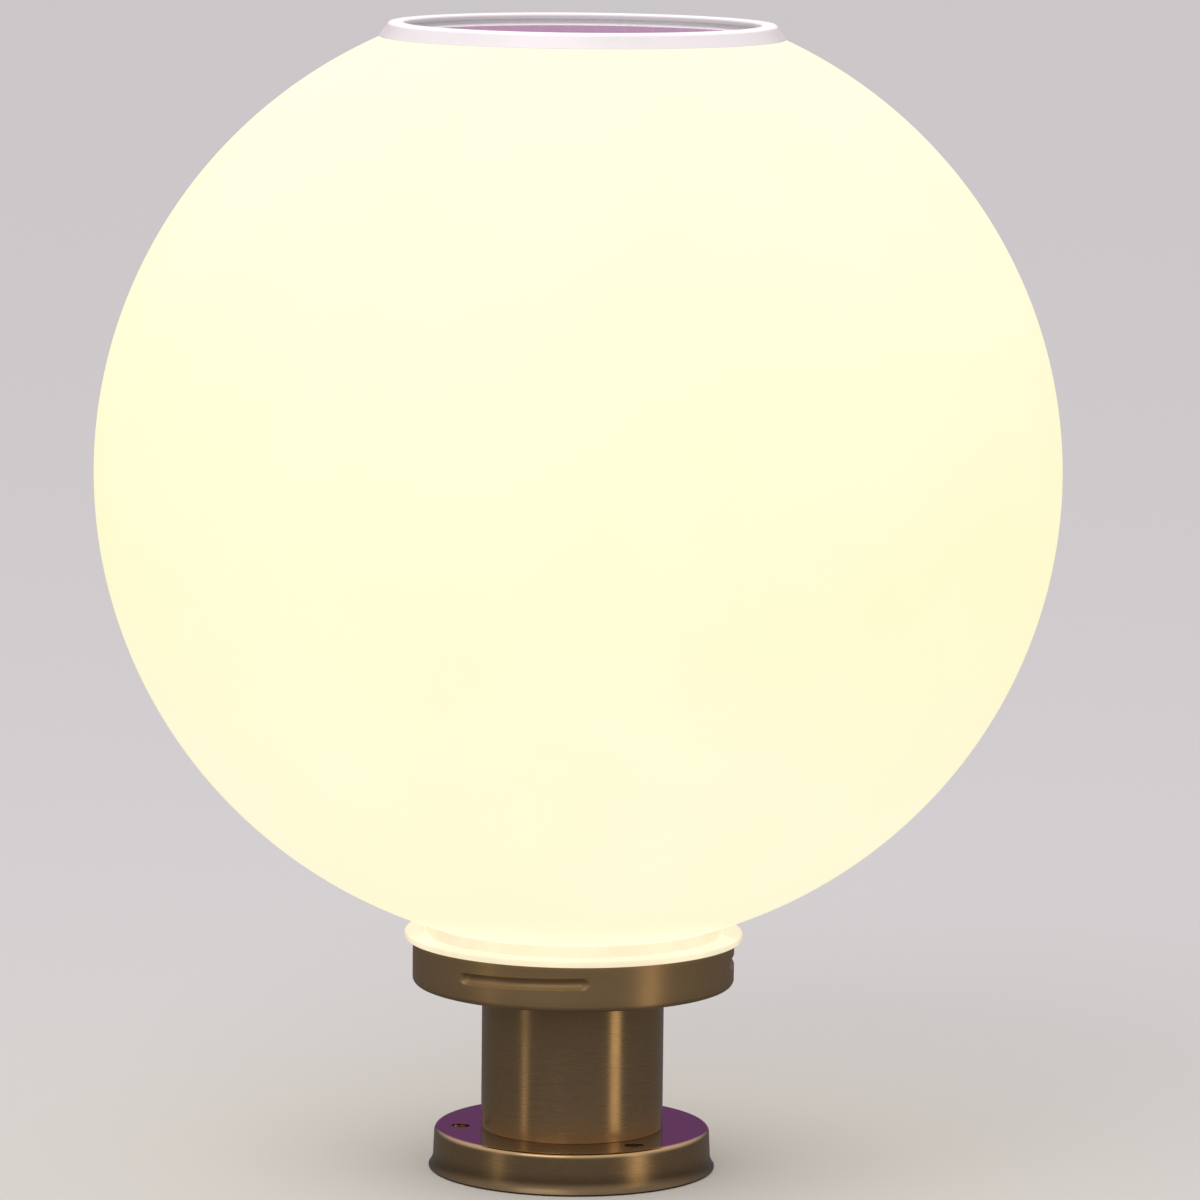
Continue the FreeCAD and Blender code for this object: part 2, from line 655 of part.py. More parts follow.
def make_housing():
    body = new_body("module_housing")
    rim = "backing_top - backing_height - gasket_height"
    inner = "tub_radius - tub_wall"
    revolve(
        body,
        (
            ("0", "tub_floor"),
            ("tub_radius - tub_corner", "tub_floor", "tub_corner", -1),
            ("tub_radius", "tub_floor + tub_corner"),
            ("tub_radius", rim),
            (inner, rim),
            (inner, "tub_floor + tub_corner", "tub_corner - tub_wall", 1),
            ("tub_radius - tub_corner", "tub_floor + tub_wall"),
            ("0", "tub_floor + tub_wall"),
        ),
    )
    top = "tub_floor + tub_wall"
    bay = new_sketch(body, "XY_Plane", f"{top} - 0.5")
    front = "battery_offset - battery_radius - bay_clearance"
    back = "battery_offset + battery_radius + bay_clearance - bay_back"
    outline(
        bay,
        (
            ("-bay_length / 2 - bay_wall", f"{front} - bay_wall"),
            ("bay_length / 2 + bay_wall", f"{front} - bay_wall"),
            ("bay_length / 2 + bay_wall", back),
            ("bay_length / 2", back),
            ("bay_length / 2", front),
            ("-bay_length / 2", front),
            ("-bay_length / 2", back),
            ("-bay_length / 2 - bay_wall", back),
        ),
    )
    pad(body, bay, "bay_height + 0.5")
    for side in ("-", ""):
        post = new_sketch(body, "XY_Plane", f"{top} - 0.5")
        circle(post, f"{side}post_spread", "board_offset", "post_radius")
        pad(body, post, f"board_base - ({top}) + 0.5")
    hook_bottom = "tub_floor - door_gap * 2 - door_height - rail_hook"
    for sign, name in (("+", "back"), ("-", "front")):
        rail = new_sketch(body, "YZ_Plane")
        door_edge = f"battery_offset {sign} door_width / 2"
        wall = f"{door_edge} {sign} door_side_gap"
        outline(
            rail,
            (
                (f"{wall} {sign} rail_wall", "tub_floor + 0.5"),
                (f"{wall} {sign} rail_wall", hook_bottom),
                (f"battery_offset {sign} (door_width / 2 - rail_reach)", hook_bottom),
                (f"battery_offset {sign} (door_width / 2 - rail_reach)", f"{hook_bottom} + rail_hook"),
                (wall, f"{hook_bottom} + rail_hook"),
                (wall, "tub_floor + 0.5"),
            ),
        )
        pad(body, rail, "rail_length", midplane=True)
    stop = new_sketch(body, "XY_Plane", "tub_floor - door_gap - door_height")
    face = "-door_length / 2 - door_gap"
    near, far = "battery_offset - stop_length / 2", "battery_offset + stop_length / 2"
    rectangle(stop, f"{face} - stop_wall", face, near, far)
    pad(body, stop, "door_gap + door_height + 0.5")
    openings = new_sketch(body, "XY_Plane", "tub_floor - 1")
    near, far = "battery_offset - door_opening_width / 2", "battery_offset + door_opening_width / 2"
    rectangle(openings, "-door_opening_length / 2", "door_opening_length / 2", near, far)
    slot = ("knob_start - knob_gap", "knob_start + knob_length + knob_travel + knob_gap")
    knob_half = "knob_width / 2 + knob_gap"
    rectangle(openings, *slot, f"board_offset - ({knob_half})", f"board_offset + {knob_half}")
    circle(openings, "0", "led_offset", "lead_hole")
    pocket(body, openings, "tub_wall + 1.2")
    keep(body, "module_housing")


def make_battery():
    end = "battery_start + battery_length"
    inner_end = "battery_radius - battery_rounding"
    body = revolve(
        new_body("battery_cell"),
        (
            ("battery_start", "0"),
            (f"{end} + terminal_height", "0"),
            (f"{end} + terminal_height", "terminal_radius"),
            (end, "terminal_radius + battery_rounding"),
            (end, inner_end, "battery_rounding", 1),
            (f"{end} - battery_rounding", "battery_radius"),
            ("battery_start + battery_rounding", "battery_radius", "battery_rounding", 1),
            ("battery_start", inner_end),
        ),
        axis="H_Axis",
    )
    body.Placement = Placement(Vector(0, size("battery_offset"), size("battery_height")), Rotation())
    keep(body, "battery_cell")
    near, low = "battery_offset - contact_width / 2", "battery_height - contact_drop"
    boss_end = "bay_length / 2 - contact_wall"
    tabs = [
        box(name, left, near, low, "contact_wall", "contact_width", "contact_width")
        for name, left in (("negative_plate", "-bay_length / 2"), ("positive_plate", boss_end))
    ]
    boss_start = f"{end} + terminal_height + touch_gap"
    boss = primitive("Cylinder", "positive_boss", Radius="contact_boss")
    bind(boss, Height=f"{boss_end} - ({boss_start})")
    boss.Placement = along_bay(size(boss_start))
    positive = join("MultiFuse", "positive_contact", [tabs[1], boss])
    keep(join("Compound", "battery_contacts", [tabs[0], positive]), "battery_contacts")
    start = size("-bay_length / 2 + contact_wall + wire_radius")
    coil = bind(
        doc.addObject("Part::Helix", "spring_line"),
        Radius="spring_radius",
        Pitch="spring_pitch",
        Height="battery_start + bay_length / 2 - contact_wall - 2 * wire_radius - touch_gap",
    )
    doc.recompute()
    wire_centre = Vector(size("spring_radius"), 0, 0)
    ring_line = Part.makeCircle(size("wire_radius"), wire_centre, Vector(0, 1, 0))
    spring = doc.addObject("Part::Feature", "battery_spring")
    spring.Shape = coil.Shape.makePipeShell([Part.Wire(ring_line)], True, True)
    spring.Placement = along_bay(start)
    keep(spring, "battery_spring")


def along_bay(start):
    """Lays a piece drawn about +Z along the battery's axis, from a place on that axis."""
    place = Vector(start, size("battery_offset"), size("battery_height"))
    return Placement(place, Rotation(Vector(0, 1, 0), 90))


def make_door():
    bottom = "tub_floor - door_gap - door_height"
    plate = box(
        "door_plate",
        "-door_length / 2",
        "battery_offset - door_width / 2",
        bottom,
        "door_length",
        "door_width",
        "door_height",
    )
    near, low = "battery_offset - grip_length / 2", f"{bottom} - grip_height"
    grips = [
        box(f"door_grip_{n}", start, near, low, "grip_width", "grip_length", "door_height")
        for n, start in enumerate(f"grip_start + {n} * grip_pitch" for n in range(4))
    ]
    keep(join("MultiFuse", "battery_door", [plate, *grips]), "battery_door")


def screw(name, across, back, face, length, turn=0):
    """A cheese-head screw with a slot, its head standing on a face and its shank pointing away."""
    body = revolve(
        new_body(name + "_turned"),
        (
            ("0", "-" + length),
            ("screw_radius", "-" + length),
            ("screw_radius", "0"),
            ("screw_head_radius", "0"),
            ("screw_head_radius", "screw_head_height - screw_head_round", "screw_head_round", -1),
            ("screw_head_radius - screw_head_round", "screw_head_height"),
            ("0", "screw_head_height"),
        ),
    )
    slot_bottom, across_head = "screw_head_height - slot_depth", "2 * screw_head_radius"
    slot = box(
        name + "_slot",
        "-screw_head_radius",
        "-slot_width / 2",
        slot_bottom,
        across_head,
        "slot_width",
        "screw_head_height",
    )
    made = cut(name, body, slot)
    made.Placement = Placement(Vector(across, back, face), Rotation(ALONG, turn))
    return made


def make_light():
    face = "tub_floor - led_board_height"
    board = ring("led_board", "led_board_radius", None, face, "led_board_height")
    board.Placement = Placement(Vector(0, size("led_offset"), 0), Rotation())
    keep(board, "led_board")
    chips = []
    for number in range(12):
        angle = 30 * number
        chip = primitive("Box", f"chip_{number}", Length="led_chip", Width="led_chip")
        bind(chip, Height="led_chip_height")
        across = size("led_circle") * math.cos(math.radians(angle))
        back = size("led_offset") + size("led_circle") * math.sin(math.radians(angle))
        turn = Placement(Vector(across, back, size(f"{face} - led_chip_height")), Rotation(UP, angle))
        corner = Vector(-size("led_chip") / 2, -size("led_chip") / 2, 0)
        chip.Placement = turn * Placement(corner, Rotation())
        chips.append(chip)
    keep(join("Compound", "led_chips", chips), "led_chips")

    wall_end = "tub_floor - cover_depth"
    inner_end = f"{wall_end} + cover_skin"
    inner_depth = "(cover_dome - cover_thinning)"
    outer_dome = "(cover_wall_radius ^ 2 + cover_dome ^ 2) / (2 * cover_dome)"
    inner_dome = f"(cover_bore ^ 2 + {inner_depth} ^ 2) / (2 * {inner_depth})"
    cover = revolve(
        new_body("cover_turned"),
        (
            ("cover_radius", "tub_floor"),
            ("cover_radius", "tub_floor - cover_flange"),
            ("cover_wall_radius", "tub_floor - cover_flange"),
            ("cover_wall_radius", wall_end, outer_dome, 1),
            ("0", f"{wall_end} - cover_dome"),
            ("0", f"{inner_end} - {inner_depth}", inner_dome, -1),
            ("cover_bore", inner_end),
            ("cover_bore", "tub_floor"),
        ),
    )
    holes, screws = [], []
    for third in THIRDS:
        angle = math.radians(third + 30)
        across = size("cover_screw_circle") * math.cos(angle)
        back = size("cover_screw_circle") * math.sin(angle)
        hole = primitive("Cylinder", f"cover_hole_{third}", Radius="screw_radius + touch_gap")
        bind(hole, Height="cover_flange")
        hole.Placement = Placement(Vector(across, back, size("tub_floor - cover_flange")), Rotation())
        holes.append(hole)
        place = (across, back + size("led_offset"), size("tub_floor - cover_flange"))
        screws.append(screw(f"cover_screw_{third}", *place, "(cover_flange - touch_gap)", turn=180))
    drilled = cut("led_cover", cover, join("MultiFuse", "cover_holes", holes))
    drilled.Placement = Placement(Vector(0, size("led_offset"), 0), Rotation())
    keep(drilled, "led_cover")
    keep(join("Compound", "led_cover_screws", screws), "led_cover_screws")


# pieces on the circuit board: length, width, height and place of the left front corner from the
# board's middle, and radius, height and place of the round ones
BOARD_BLOCKS = (
    ("charger_chip", "6", "5", "1.6", "-6", "-2.5"),
    ("driver_chip", "5", "4", "1.4", "6", "-2"),
    ("socket_battery", "8", "5", "socket_height", "-20", "3"),
    ("socket_panel", "8", "5", "socket_height", "-9", "3"),
    ("socket_light", "8", "5", "socket_height", "2", "3"),
)
BOARD_CANS = (
    ("coil_core", "3.2", "3", "-14", "-4"),
    ("smoothing_can", "3", "7", "18", "-3"),
    ("filter_can", "2.2", "6", "17", "5"),
)


def make_board():
    sizes = ("board_length", "board_width", "board_height")
    corner = ("-board_length / 2", "board_offset - board_width / 2", "board_base")
    blank = box("board_blank", *corner, *sizes)
    holes = [
        rod(name, across, "board_offset", "board_base", "screw_radius + touch_gap", "board_height")
        for name, across in (("board_hole_left", "-post_spread"), ("board_hole_right", "post_spread"))
    ]
    keep(cut("control_board", blank, join("MultiFuse", "board_holes", holes)), "control_board")
    face = "board_base + board_height"
    pieces = [
        box(name, across, f"board_offset + ({back})", face, length, width, height)
        for name, length, width, height, across, back in BOARD_BLOCKS
    ]
    pieces += [
        rod(name, across, f"board_offset + ({back})", face, radius, height)
        for name, radius, height, across, back in BOARD_CANS
    ]
    keep(join("Compound", "board_components", pieces), "board_components")
    screws = [
        screw(name, size(across), size("board_offset"), size(face), "(board_height - touch_gap)")
        for name, across in (("board_screw_left", "-post_spread"), ("board_screw_right", "post_spread"))
    ]
    keep(join("Compound", "board_screws", screws), "board_screws")


def make_switch():
    top = "tub_floor + tub_wall"
    case = box(
        "switch_case",
        "switch_start",
        "board_offset - switch_width / 2",
        f"{top} + touch_gap",
        "switch_length",
        "switch_width",
        f"board_base - ({top}) - touch_gap",
    )
    room = box(
        "switch_room",
        "knob_start - knob_gap",
        "board_offset - knob_width / 2 - knob_gap",
        top,
        "knob_length + knob_travel + 2 * knob_gap",
        "knob_width + 2 * knob_gap",
        "knob_head + knob_gap",
    )
    keep(cut("switch_body", case, room), "switch_body")
    stem = box(
        "knob_stem",
        "knob_start",
        "board_offset - knob_width / 2",
        "knob_bottom",
        "knob_length",
        "knob_width",
        f"{top} - knob_bottom + knob_head",
    )
    first = "knob_start + knob_length / 2 - knob_notch / 2"
    notches = [
        box(
            f"knob_notch_{n}",
            f"{first} + ({n - 1}) * knob_notch_pitch",
            "board_offset - knob_width / 2",
            "knob_bottom",
            "knob_notch",
            "knob_width",
            "knob_notch",
        )
        for n in range(3)
    ]
    keep(cut("switch_knob", stem, join("MultiFuse", "knob_notches", notches)), "switch_knob")


def lead(name, corners):
    """A round lead along straight runs joined by arcs, each as large as its two runs allow."""
    points = [Vector(*c) for c in corners]
    edges, here = [], points[0]
    for before, corner, after in zip(points, points[1:], points[2:]):
        one, two = (before - corner), (after - corner)
        turn = math.pi - one.getAngle(two)
        trim = 0.45 * min(one.Length, two.Length)
        one.normalize()
        two.normalize()
        radius = trim / math.tan(turn / 2)
        begin, end = corner + one * trim, corner + two * trim
        bisector = (one + two).normalize()
        middle = corner + bisector * (radius / math.cos(turn / 2) - radius)
        edges += [Part.LineSegment(here, begin).toShape(), Part.Arc(begin, middle, end).toShape()]
        here = end
    edges.append(Part.LineSegment(here, points[-1]).toShape())
    path = Part.Wire(edges)
    profile = Part.Wire(Part.makeCircle(size("lead_radius"), points[0], points[1] - points[0]))
    tube = doc.addObject("Part::Feature", name)
    tube.Shape = path.makePipeShell([profile], True, False)
    wanted = math.pi * size("lead_radius") ** 2 * path.Length
    if abs(tube.Shape.Volume - wanted) > 0.02 * wanted:
        raise RuntimeError(f"{name}: the lead's volume is wrong")
    return tube


def make_leads():
    """Leads from the board's sockets to the panel, the light and the battery's contact plates. Their
    routes are points chosen by hand, measured from the sockets' tops and from the plates' tops."""
    gap = 2 * size("touch_gap")
    socket = size("board_base + board_height + socket_height") + gap
    back = size("board_offset") + 5.5
    panel_face = size("backing_top - backing_height") - gap
    panel = [
        lead(
            f"panel_lead_{side}",
            (
                (across, back, socket),
                (across, back, socket + 4),
                (across + lean, back + 3, socket + 7),
                (across + lean, back + 3.5, panel_face),
            ),
        )
        for side, across, lean in (("left", -7, -1.5), ("right", -3, 1.5))
    ]
    keep(join("Compound", "panel_leads", panel), "panel_leads")
    hole_y, light_face = size("led_offset"), size("tub_floor") + gap
    light = [
        lead(
            f"light_lead_{side}",
            (
                (across, back, socket),
                (across, back, socket + 4),
                (across / 2 + 0.4, back + 10, socket + 3.5),
                (hole, hole_y, socket - 3),
                (hole, hole_y, light_face),
            ),
        )
        for side, across, hole in (("left", 4, -1.2), ("right", 8, 1.2))
    ]
    keep(join("Compound", "light_leads", light), "light_leads")
    tab = size("bay_length / 2 - contact_wall / 2")
    tab_y = size("battery_offset") - 5
    tab_top = size("battery_height - contact_drop + contact_width + lead_radius") + gap
    battery = [
        lead(
            "battery_lead_negative",
            (
                (-18, back, socket),
                (-18, back, socket + 4),
                (-24, back + 18, socket + 6),
                (-tab + 0.4, tab_y - 6, tab_top + 3),
                (-tab, tab_y, tab_top + 2.8),
                (-tab, tab_y + 1.5, tab_top),
            ),
        ),
        lead(
            "battery_lead_positive",
            (
                (-14, back, socket),
                (-14, back, socket + 4.5),
                (-6, back + 22, socket + 7),
                (14, back + 30, socket + 8),
                (32, tab_y - 8, tab_top + 3),
                (tab, tab_y, tab_top + 2.8),
                (tab, tab_y + 1.5, tab_top),
            ),
        ),
    ]
    keep(join("Compound", "battery_leads", battery), "battery_leads")


# ---------------------------------------------------------------- build and export


def check(item):
    """Stops the script if an object failed or a sub-part isn't made of valid closed solids."""
    if "Invalid" in item.State or "Error" in item.State:
        raise RuntimeError(f"{item.Label} failed: {item.State}")
    if item in parts:
        shape = item.Shape
        if shape.isNull() or not shape.isValid() or not shape.Solids:
            raise RuntimeError(f"{item.Label} has no valid solid")


make_foot()
make_column()
make_rod()
make_collar()
make_globe()
make_neck()
make_bezel()
make_panel()
make_housing()
make_battery()
make_door()
make_light()
make_board()
make_switch()
make_leads()
doc.recompute()
for item in doc.Objects:
    check(item)
os.makedirs("parts", exist_ok=True)
for item in parts:
    item.Shape.exportStep(f"parts/{item.Label}.step")
    print(item.Label, len(item.Shape.Solids), round(item.Shape.Volume, 1))
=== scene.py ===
"""The looks of a solar globe lamp for a gatepost, built round its CAD frame.

Everything is in metres, +Z up, standing on z = 0. The globe, its neck ring, the collar with its rolled
beads, the column, the foot, the rod, the bezel, the panel and the small fittings of the solar unit are
modelled here over their CAD nodes. The other CAD nodes are kept as they are and get their finishes.
"""

import math

import bmesh
import bpy
from bpy.props import FloatProperty, FloatVectorProperty, IntProperty, PointerProperty
from mathutils import Matrix, Vector


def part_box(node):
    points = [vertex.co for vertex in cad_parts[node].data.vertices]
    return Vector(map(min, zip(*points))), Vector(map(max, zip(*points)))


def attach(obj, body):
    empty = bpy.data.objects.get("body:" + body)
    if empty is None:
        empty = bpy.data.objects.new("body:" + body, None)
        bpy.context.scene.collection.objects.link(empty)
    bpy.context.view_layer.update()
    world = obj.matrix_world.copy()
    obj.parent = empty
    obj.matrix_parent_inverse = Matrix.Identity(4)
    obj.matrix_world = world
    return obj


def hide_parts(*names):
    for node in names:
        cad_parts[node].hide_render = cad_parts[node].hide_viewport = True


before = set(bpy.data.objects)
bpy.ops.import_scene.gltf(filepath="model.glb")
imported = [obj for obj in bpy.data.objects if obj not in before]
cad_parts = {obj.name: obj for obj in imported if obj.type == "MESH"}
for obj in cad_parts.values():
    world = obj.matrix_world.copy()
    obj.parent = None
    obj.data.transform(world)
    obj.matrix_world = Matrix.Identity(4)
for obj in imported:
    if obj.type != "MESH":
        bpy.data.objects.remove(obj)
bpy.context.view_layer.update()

bl_info = {
    "name": "Solar globe lamp",
    "version": (1, 0, 0),
    "blender": (4, 5, 0),
    "location": "View3D > Sidebar > Globe Lamp",
    "description": "Models and finishes a solar globe lamp round its CAD frame",
    "category": "Add Mesh",
}

MM = 0.001
FULL_TURN = 2 * math.pi
UP = (0, 0, 1)
THIRDS = (0, 120, 240)
BEND_STEPS = 6  # straight pieces in each bend of a half section
LEVEL = 0.9999  # upright part of a level face's normal
WELD = MM / 1000  # points nearer than this are one


# ---------------------------------------------------------------- places read from the frame


BOXES = {name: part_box(name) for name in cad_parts}


def low(node):
    return BOXES[node][0]


def high(node):
    return BOXES[node][1]


def radius_of(node):
    """Outside radius of a node that is turned about an upright axis."""
    return (high(node).x - low(node).x) / 2


def middle(node):
    return (low(node) + high(node)) / 2


# ---------------------------------------------------------------- sizes and colours


def length(name, description, default):
    return FloatProperty(
        name=name, description=description, default=default, min=0, unit="LENGTH", precision=5
    )


def colour(name, description, default):
    return FloatVectorProperty(
        name=name, description=description, default=default, size=3, min=0, max=1, subtype="COLOR"
    )


def amount(name, description, default):
    return FloatProperty(name=name, description=description, default=default, min=0)


def angle(name, description, default):
    return FloatProperty(
        name=name, description=description, default=math.radians(default), subtype="ANGLE"
    )


class StageSettings(bpy.types.PropertyGroup):
    """The floor, the studio light and the camera."""

    floor_radius: length("Floor radius", "Radius of the plain floor", 16.0)
    floor_colour: colour("Floor colour", "Colour of the plain floor", (0.74, 0.725, 0.73))
    room_colour: colour("Room light colour", "Colour of the even light from all round", (1.0, 0.97, 0.985))
    room_light: amount("Room light", "Strength of the even light from above", 0.95)
    ground_light: amount("Ground light", "Strength of the light that metal mirrors from below", 0.14)
    key_power: amount("Key light", "Power of the broad light above, in watts", 8.0)
    streak_power: amount("Streak light", "Power of the tall narrow light to the right, in watts", 1.0)
    left_power: amount("Left light", "Power of the tall narrow light to the left, in watts", 0.3)
    mauve_low: colour("Mauve, low", "Light of the lower part of the backdrop", (0.17, 0.055, 0.23))
    mauve_high: colour("Mauve, high", "Light of the upper part of the backdrop", (0.60, 0.34, 0.52))
    lens: amount("Lens", "Focal length on a 36 mm sensor, in mm", 208.47)
    pitch: angle("Pitch", "How far the camera looks down", 7.835)
    roll: angle("Roll", "Turn of the camera about its view", 0.606)
    eye: FloatVectorProperty(
        name="Eye",
        description="Place of the camera",
        default=(0.00716, -2.14145, 0.47433),
        subtype="TRANSLATION",
    )


class LampSettings(bpy.types.PropertyGroup):
    """Sizes and colours of the lamp's pieces."""

    opal: colour("Opal plastic", "Colour of the globe's plastic", (0.30, 0.28, 0.26))
    glow: colour("Glow", "Colour of the light that comes through the globe", (1.0, 0.95, 0.56))
    glow_strength: amount("Glow strength", "Strength of that light", 0.84)
    # the steel's colour is darker and browner than bare steel: a painted reflection of dark, warm
    # surroundings
    steel: colour("Steel", "Colour of the brushed steel", (0.47, 0.32, 0.175))
    steel_roughness: amount("Steel roughness", "Roughness of the brushed steel", 0.27)
    white: colour("White plastic", "Colour of the bezel", (0.93, 0.88, 0.91))
    housing: colour("Housing plastic", "Colour of the housing", (0.70, 0.70, 0.67))
    cell: colour("Solar cell", "Colour of the solar cells", (0.012, 0.02, 0.07))
    wrap: colour("Battery wrap", "Colour of the battery's wrap", (0.03, 0.16, 0.42))
    globe_steps: IntProperty(name="Globe steps", description="Facets round the globe", default=192, min=24)
    ring_steps: IntProperty(name="Ring steps", description="Facets round each ring", default=144, min=24)
    collar_steps: IntProperty(name="Collar steps", description="Facets round the collar", default=384, min=36)
    globe_wall: length("Globe wall", "Thickness of the globe", 2.2 * MM)
    mouth: length("Mouth", "Radius of the hole in the globe's top", 58.4 * MM)
    throat: length("Throat", "Radius of the hole in the globe's bottom", 44.3 * MM)
    foot_sheet: length("Foot sheet", "Thickness of the foot's steel", 1.0 * MM)
    collar_sheet: length("Collar sheet", "Thickness of the collar's steel", 0.8 * MM)
    bead_turn: angle("Bead turn", "Angle of the middle of the first bead", -109)
    bead_arc: angle("Bead arc", "Arc of a bead without its round ends", 44)
    bead_slope: angle("Bead slope", "Slope of a bead, as part of a thread", 1.5)
    bead_drop: length("Bead drop", "From the collar's rim down to the middle of a bead", 6.0 * MM)
    bead_depth: length("Bead depth", "How far a bead is rolled in", 1.5 * MM)
    bead_half: length("Bead half width", "Half of a bead's width", 1.75 * MM)
    hole_circle: length("Hole circle", "Radius of the circle of screw holes", 35 * MM)
    hole: length("Hole", "Radius of a screw hole", 3 * MM)
    hole_turn: angle("Hole turn", "Angle of the first screw hole", 184)
    cell_pitch: length("Cell pitch", "From one column of solar cells to the next", 17.2 * MM)
    chip: length("Chip", "Side of a lit chip", 3 * MM)
    thread_pitch: length("Thread pitch", "From one turn of the rod's thread to the next", 1.25 * MM)


def lamp():
    return bpy.context.scene.lamp


# ---------------------------------------------------------------- modelling by hand


def deselect():
    if bpy.context.object and bpy.context.object.mode != "OBJECT":
        bpy.ops.object.mode_set(mode="OBJECT")
    bpy.ops.object.select_all(action="DESELECT")


def start(name, add, **settings):
    """Adds a primitive, selected alone, and names it."""
    deselect()
    add(**settings)
    piece = bpy.context.object
    piece.name = piece.data.name = name
    return piece


def hold(piece):
    """Selects one piece alone and makes it the active one."""
    deselect()
    piece.select_set(True)
    bpy.context.view_layer.objects.active = piece


def open_edit():
    bpy.ops.object.mode_set(mode="EDIT")
    bpy.ops.mesh.select_mode(type="VERT")


def close_edit():
    bpy.ops.object.mode_set(mode="OBJECT")


def weld():
    """Merges double points, turns all faces outwards and leaves edit mode."""
    bpy.ops.mesh.select_all(action="SELECT")
    bpy.ops.mesh.remove_doubles(threshold=WELD)
    bpy.ops.mesh.normals_make_consistent(inside=False)
    close_edit()


def pick_faces(test):
    """In edit mode, selects the faces that a test of centre and normal chooses. Returns how many."""
    bpy.ops.mesh.select_mode(type="FACE")
    bpy.ops.mesh.select_all(action="DESELECT")
    mesh = bmesh.from_edit_mesh(bpy.context.object.data)
    chosen = [f for f in mesh.faces if test(f.calc_center_median(), f.normal)]
    for face in chosen:
        face.select_set(True)
    bmesh.update_edit_mesh(bpy.context.object.data)
    return len(chosen)


def outline(*corners):
    """Points of a half section. A corner is (radius, height), or (radius, height, bend, side), where an
    arc of radius bend leads to the next corner, bulging to the left (1) or right (-1) of the way."""
    points = []
    for corner, follower in zip(corners, corners[1:] + corners[:1]):
        begin, end = Vector(corner[:2]), Vector(follower[:2])
        points.append(begin)
        if len(corner) == 2:
            continue
        bend, side = corner[2:]
        chord = end - begin
        left = Vector((-chord.y, chord.x)).normalized()
        centre = (begin + end) / 2 - left * side * math.sqrt(max(bend**2 - (chord.length / 2) ** 2, 0))
        first, last = (math.atan2(p.y, p.x) for p in (begin - centre, end - centre))
        sweep = (last - first + math.pi) % FULL_TURN - math.pi
        for step in range(1, BEND_STEPS):
            way = first + sweep * step / BEND_STEPS
            points.append(centre + bend * Vector((math.cos(way), math.sin(way))))
    return points


def drawn(name, points, closed=True):
    """Draws a half section point by point, and stays in edit mode with all of it selected."""
    piece = start(name, bpy.ops.mesh.primitive_plane_add, size=MM)
    open_edit()
    bpy.ops.mesh.merge(type="CENTER")
    bpy.ops.transform.translate(value=(points[0].x, 0, points[0].y))
    for before, after in zip(points, [*points[1:], *(points[:1] if closed else [])]):
        step = after - before
        bpy.ops.mesh.extrude_region_move(TRANSFORM_OT_translate={"value": (step.x, 0, step.y)})
    bpy.ops.mesh.select_all(action="SELECT")
    bpy.ops.mesh.remove_doubles(threshold=WELD)
    return piece


def turned(name, points, steps, closed=True):
    """Draws a half section and spins it about the lamp's axis."""
    piece = drawn(name, points, closed)
    bpy.ops.mesh.spin(steps=steps, angle=FULL_TURN, center=(0, 0, 0), axis=UP)
    weld()
    return piece


def add_modifier(piece, kind, **settings):
    """Adds a modifier and applies it."""
    hold(piece)
    modifier = piece.modifiers.new(kind.lower(), kind)
    for name, value in settings.items():
        setattr(modifier, name, value)
    bpy.ops.object.modifier_apply(modifier=modifier.name)
    return piece


def round_edges(piece, width, segments=3, over=35):
    return add_modifier(
        piece,
        "BEVEL",
        width=width,
        segments=segments,
        limit_method="ANGLE",
        angle_limit=math.radians(over),
        use_clamp_overlap=True,
    )


def combine(piece, tool, operation="UNION"):
    """Adds one piece's volume to another, or takes it away, and removes the tool."""
    add_modifier(piece, "BOOLEAN", operation=operation, solver="EXACT", object=tool)
    bpy.data.objects.remove(tool)
    return piece


def cut_away(piece, tool):
    return combine(piece, tool, "DIFFERENCE")


def joined(name, pieces):
    """Joins pieces into one object."""
    deselect()
    for piece in pieces:
        piece.select_set(True)
    bpy.context.view_layer.objects.active = pieces[0]
    if len(pieces) > 1:
        bpy.ops.object.join()
    whole = bpy.context.object
    whole.name = whole.data.name = name
    return whole


def copied(piece, turn, about):
    """A copy with its own mesh, turned about an upright axis through a point."""
    twin = piece.copy()
    twin.data = piece.data.copy()
    bpy.context.scene.collection.objects.link(twin)
    centre = Matrix.Translation(about)
    twin.matrix_world = centre @ Matrix.Rotation(turn, 4, "Z") @ centre.inverted() @ piece.matrix_world
    return twin


def block(name, low_corner, high_corner, rounding, segments=2):
    """A cuboid between two corners, its edges rounded."""
    span = Vector(high_corner) - Vector(low_corner)
    place = (Vector(high_corner) + Vector(low_corner)) / 2
    piece = start(name, bpy.ops.mesh.primitive_cube_add, size=1, location=place, scale=span)
    bpy.ops.object.transform_apply(location=True, rotation=True, scale=True)
    return round_edges(piece, rounding, segments)


def dress(piece, body, slot, material, replaces=(), smooth=30):
    """Fixes a piece's place in its mesh, gives it its finish and lets it ride on its body. Faces that
    are round are smoothed, and level ones stay flat."""
    hold(piece)
    bpy.ops.object.transform_apply(location=True, rotation=True, scale=True)
    bpy.ops.object.shade_smooth_by_angle(angle=math.radians(smooth))
    for face in piece.data.polygons:
        if abs(face.normal.z) > LEVEL:
            face.use_smooth = False
    if material:
        piece.data.materials.clear()
        piece.data.materials.append(material)
    if not piece.data.polygons:
        raise RuntimeError(f"{piece.name} has no faces")
    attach(piece, body)
    if replaces:
        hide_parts(*replaces)
    return piece


# ---------------------------------------------------------------- shader sums


